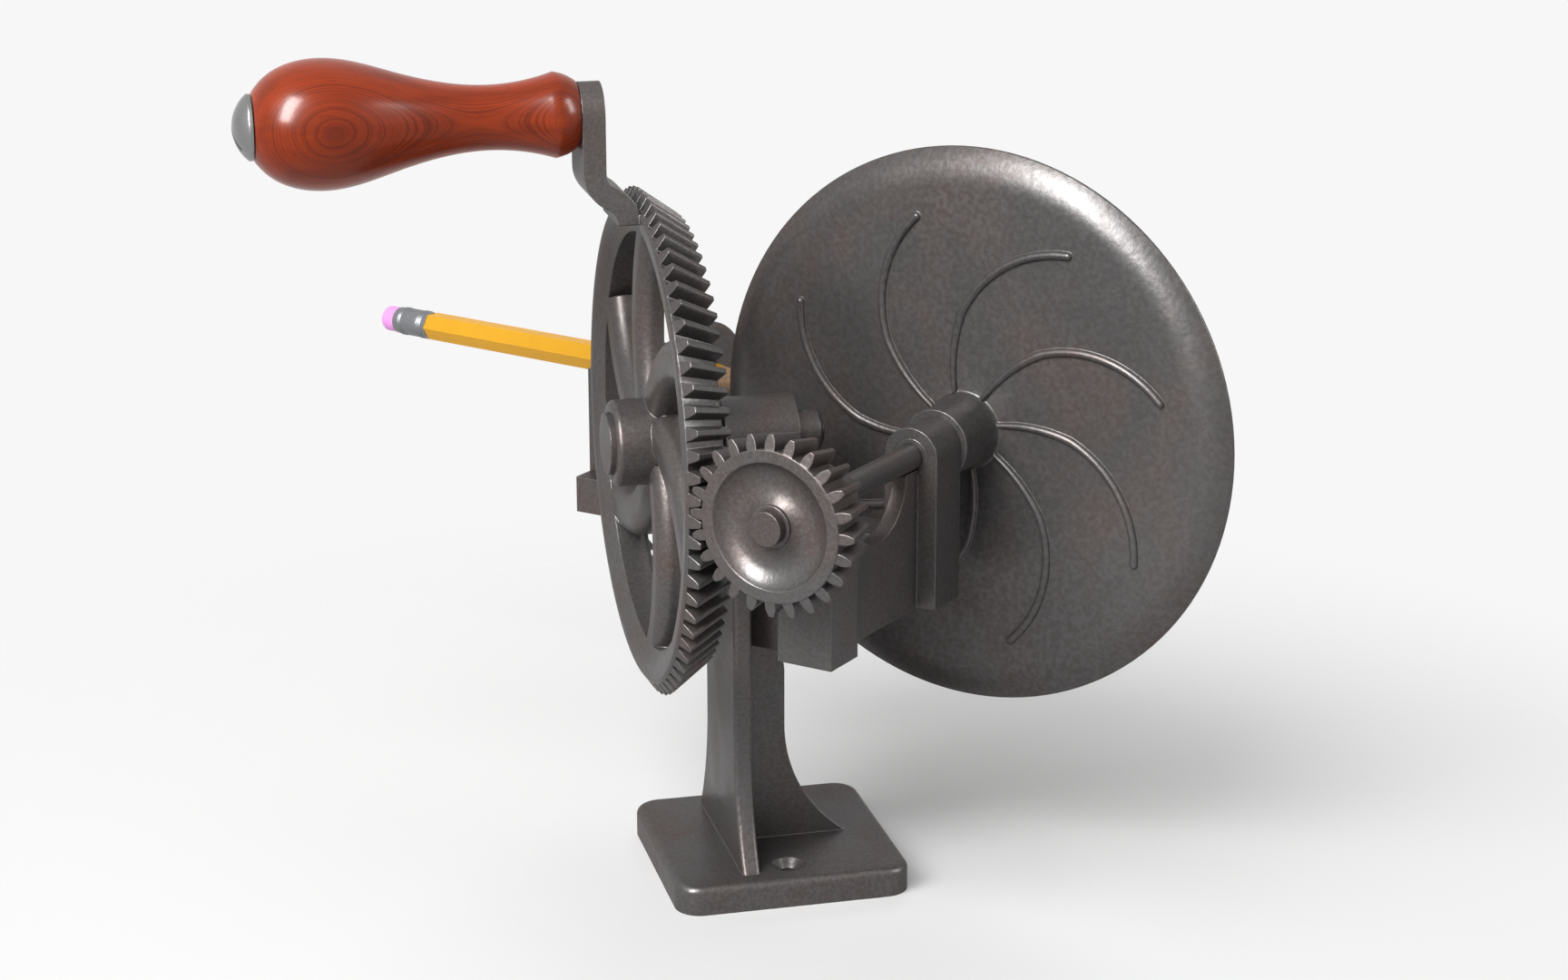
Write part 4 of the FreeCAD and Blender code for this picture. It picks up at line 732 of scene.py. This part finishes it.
class SHARPENER_OT_pencil(bpy.types.Operator):
    """Dress the pencil: lacquered barrel with a bare point, lead, beaded ferrule and eraser"""

    bl_idname = "sharpener.pencil"
    bl_label = "Pencil"

    def execute(self, context):
        outwards = Vector(JOINTS["pencil_slide"]["axis"]).normalized()
        work = node_copy("pencil_barrel")
        crease(work, BARREL_CREASE)
        for face in work.faces:
            slope = face.normal.dot(outwards)
            face.material_index = 1 if POINT_SLOPE[0] < slope < POINT_SLOPE[1] else 0
        finished("pencil_barrel_piece", work, "pencil_barrel", [paint_finish(), cedar_finish()])
        graphite = speckled_finish("pencil_graphite", colours().lead, scale=1800.0, rough=0.45, depth=0.00002)
        dressed("pencil_lead", graphite)
        self.ferrule(outwards)
        rubber = speckled_finish(
            "eraser_rubber", colours().eraser, scale=700.0, rough=0.75, depth=0.00002, spread=0.94)
        dressed("pencil_eraser", rubber)
        return {"FINISHED"}

    def ferrule(self, outwards):
        """The sheet-metal ferrule, with its beads and knurls, in the place of the plain one."""
        corners = [vertex.co for vertex in frame["nodes"]["pencil_ferrule"].data.vertices]
        middle, start, end = along_axis(corners, outwards)
        radius = max((corner - middle - outwards * corner.dot(outwards)).length for corner in corners)
        work = turned(ferrule_section(end - start, radius))
        knurled(work, end - start, radius)
        settle(work, middle + outwards * start, outwards)
        crease(work, FERRULE_CREASE)
        sheet = speckled_finish("ferrule_aluminium", colours().ferrule, scale=400.0, rough=0.42,
                                depth=0.000005, spread=0.85, metal=0.6)
        return finished("ferrule", work, "pencil_ferrule", [sheet])


class SHARPENER_OT_stage(bpy.types.Operator):
    """Set up the pale floor, the soft lights and the camera"""

    bl_idname = "sharpener.stage"
    bl_label = "Stage"

    def execute(self, context):
        scene = context.scene
        scene.view_settings.view_transform = "Standard"
        self.camera(scene)
        self.world(scene)
        self.floor(scene)
        for lamp in LAMPS:
            self.lamp(scene, *lamp)
        return {"FINISHED"}

    def camera(self, scene):
        """Places the camera where the photograph was taken from."""
        data = bpy.data.cameras.new("camera")
        data.sensor_fit = "HORIZONTAL"
        data.sensor_width = SENSOR_WIDTH
        data.lens = SENSOR_WIDTH * FOCAL_PIXELS / PHOTO_WIDTH
        data.clip_start = 0.01
        camera = bpy.data.objects.new("camera", data)
        camera.location = CAMERA_PLACE
        camera.rotation_euler = (math.pi / 2 - CAMERA_DIP, 0.0, CAMERA_TURN)
        scene.collection.objects.link(camera)
        scene.camera = camera

    def world(self, scene):
        """A pale world, seen at full strength and lighting at less."""
        world = bpy.data.worlds.new("studio")
        world.use_nodes = True
        work = Nodes(world.node_tree)
        seen = work.add("LightPath").outputs
        shown = work.math("MAXIMUM", work.math("MAXIMUM", seen["Is Camera Ray"], seen["Is Glossy Ray"]),
                          seen["Is Transmission Ray"])
        pale = world.node_tree.nodes["Background"]
        pale.inputs["Color"].default_value = shade(colours().floor)
        work.tree.links.new(work.ramp(shown, 0.0, 1.0, FILL_STRENGTH, 1.0), pale.inputs["Strength"])
        scene.world = world

    def floor(self, scene):
        """A round floor that fades into the world and keeps the object's shadow."""
        work = bmesh.new()
        bmesh.ops.create_circle(work, cap_ends=True, radius=FLOOR_RADIUS, segments=96)
        mesh = bpy.data.meshes.new("floor")
        work.to_mesh(mesh)
        work.free()
        finish, nodes, shader, place = new_finish("studio_floor")
        shader.inputs["Base Color"].default_value = shade(colours().floor)
        shader.inputs["Roughness"].default_value = 0.9
        shader.inputs["Specular IOR Level"].default_value = 0.0
        far = nodes.add("VectorMath", {0: place}, operation="LENGTH").outputs["Value"]
        fade = nodes.ramp(far, FLOOR_FADE[0], FLOOR_FADE[1], 0.0, 1.0)
        clear = nodes.add("BsdfTransparent")
        blend = nodes.add("MixShader", {0: fade, 1: shader.outputs["BSDF"], 2: clear.outputs["BSDF"]})
        output = [node for node in nodes.tree.nodes if node.type == "OUTPUT_MATERIAL"][0]
        nodes.tree.links.new(blend.outputs["Shader"], output.inputs["Surface"])
        mesh.materials.append(finish)
        floor = bpy.data.objects.new("floor", mesh)
        scene.collection.objects.link(floor)

    def lamp(self, scene, name, place, width, tall, power, unseen_by):
        """A soft lamp that looks at the gears, and lights either the surfaces or their gloss."""
        data = bpy.data.lights.new(name, "AREA")
        data.shape = "RECTANGLE"
        data.size = width
        data.size_y = tall
        data.energy = power
        lamp = bpy.data.objects.new(name, data)
        lamp.location = place
        aim = LAMP_TARGET - Vector(place)
        lamp.rotation_euler = aim.to_track_quat("-Z", "Y").to_euler()
        setattr(lamp, unseen_by, False)
        scene.collection.objects.link(lamp)


OPERATORS = (
    SHARPENER_OT_castings,
    SHARPENER_OT_gears,
    SHARPENER_OT_disc,
    SHARPENER_OT_shafts,
    SHARPENER_OT_handle,
    SHARPENER_OT_pencil,
    SHARPENER_OT_stage,
)


class SHARPENER_PT_panel(bpy.types.Panel):
    """The sharpener's pieces and finishes"""

    bl_idname = "SHARPENER_PT_panel"
    bl_label = "Pencil Sharpener"
    bl_space_type = "VIEW_3D"
    bl_region_type = "UI"
    bl_category = "Sharpener"

    def draw(self, context):
        for operator in OPERATORS:
            self.layout.operator(operator.bl_idname)
        for group in (context.scene.sharpener_sizes, context.scene.sharpener_colours):
            box = self.layout.box()
            for key in group.__annotations__:
                box.prop(group, key)


CLASSES = (SharpenerSizes, SharpenerColours) + OPERATORS + (SHARPENER_PT_panel,)


def register():
    """Adds the classes and the settings."""
    for item in CLASSES:
        bpy.utils.register_class(item)
    bpy.types.Scene.sharpener_sizes = PointerProperty(type=SharpenerSizes)
    bpy.types.Scene.sharpener_colours = PointerProperty(type=SharpenerColours)


def unregister():
    """Takes the settings and the classes away."""
    del bpy.types.Scene.sharpener_colours
    del bpy.types.Scene.sharpener_sizes
    for item in reversed(CLASSES):
        bpy.utils.unregister_class(item)


def main():
    """Makes every piece and the stage."""
    register()
    bpy.ops.sharpener.castings()
    bpy.ops.sharpener.gears()
    bpy.ops.sharpener.disc()
    bpy.ops.sharpener.shafts()
    bpy.ops.sharpener.handle()
    bpy.ops.sharpener.pencil()
    bpy.ops.sharpener.stage()


if __name__ == "__main__":
    main()
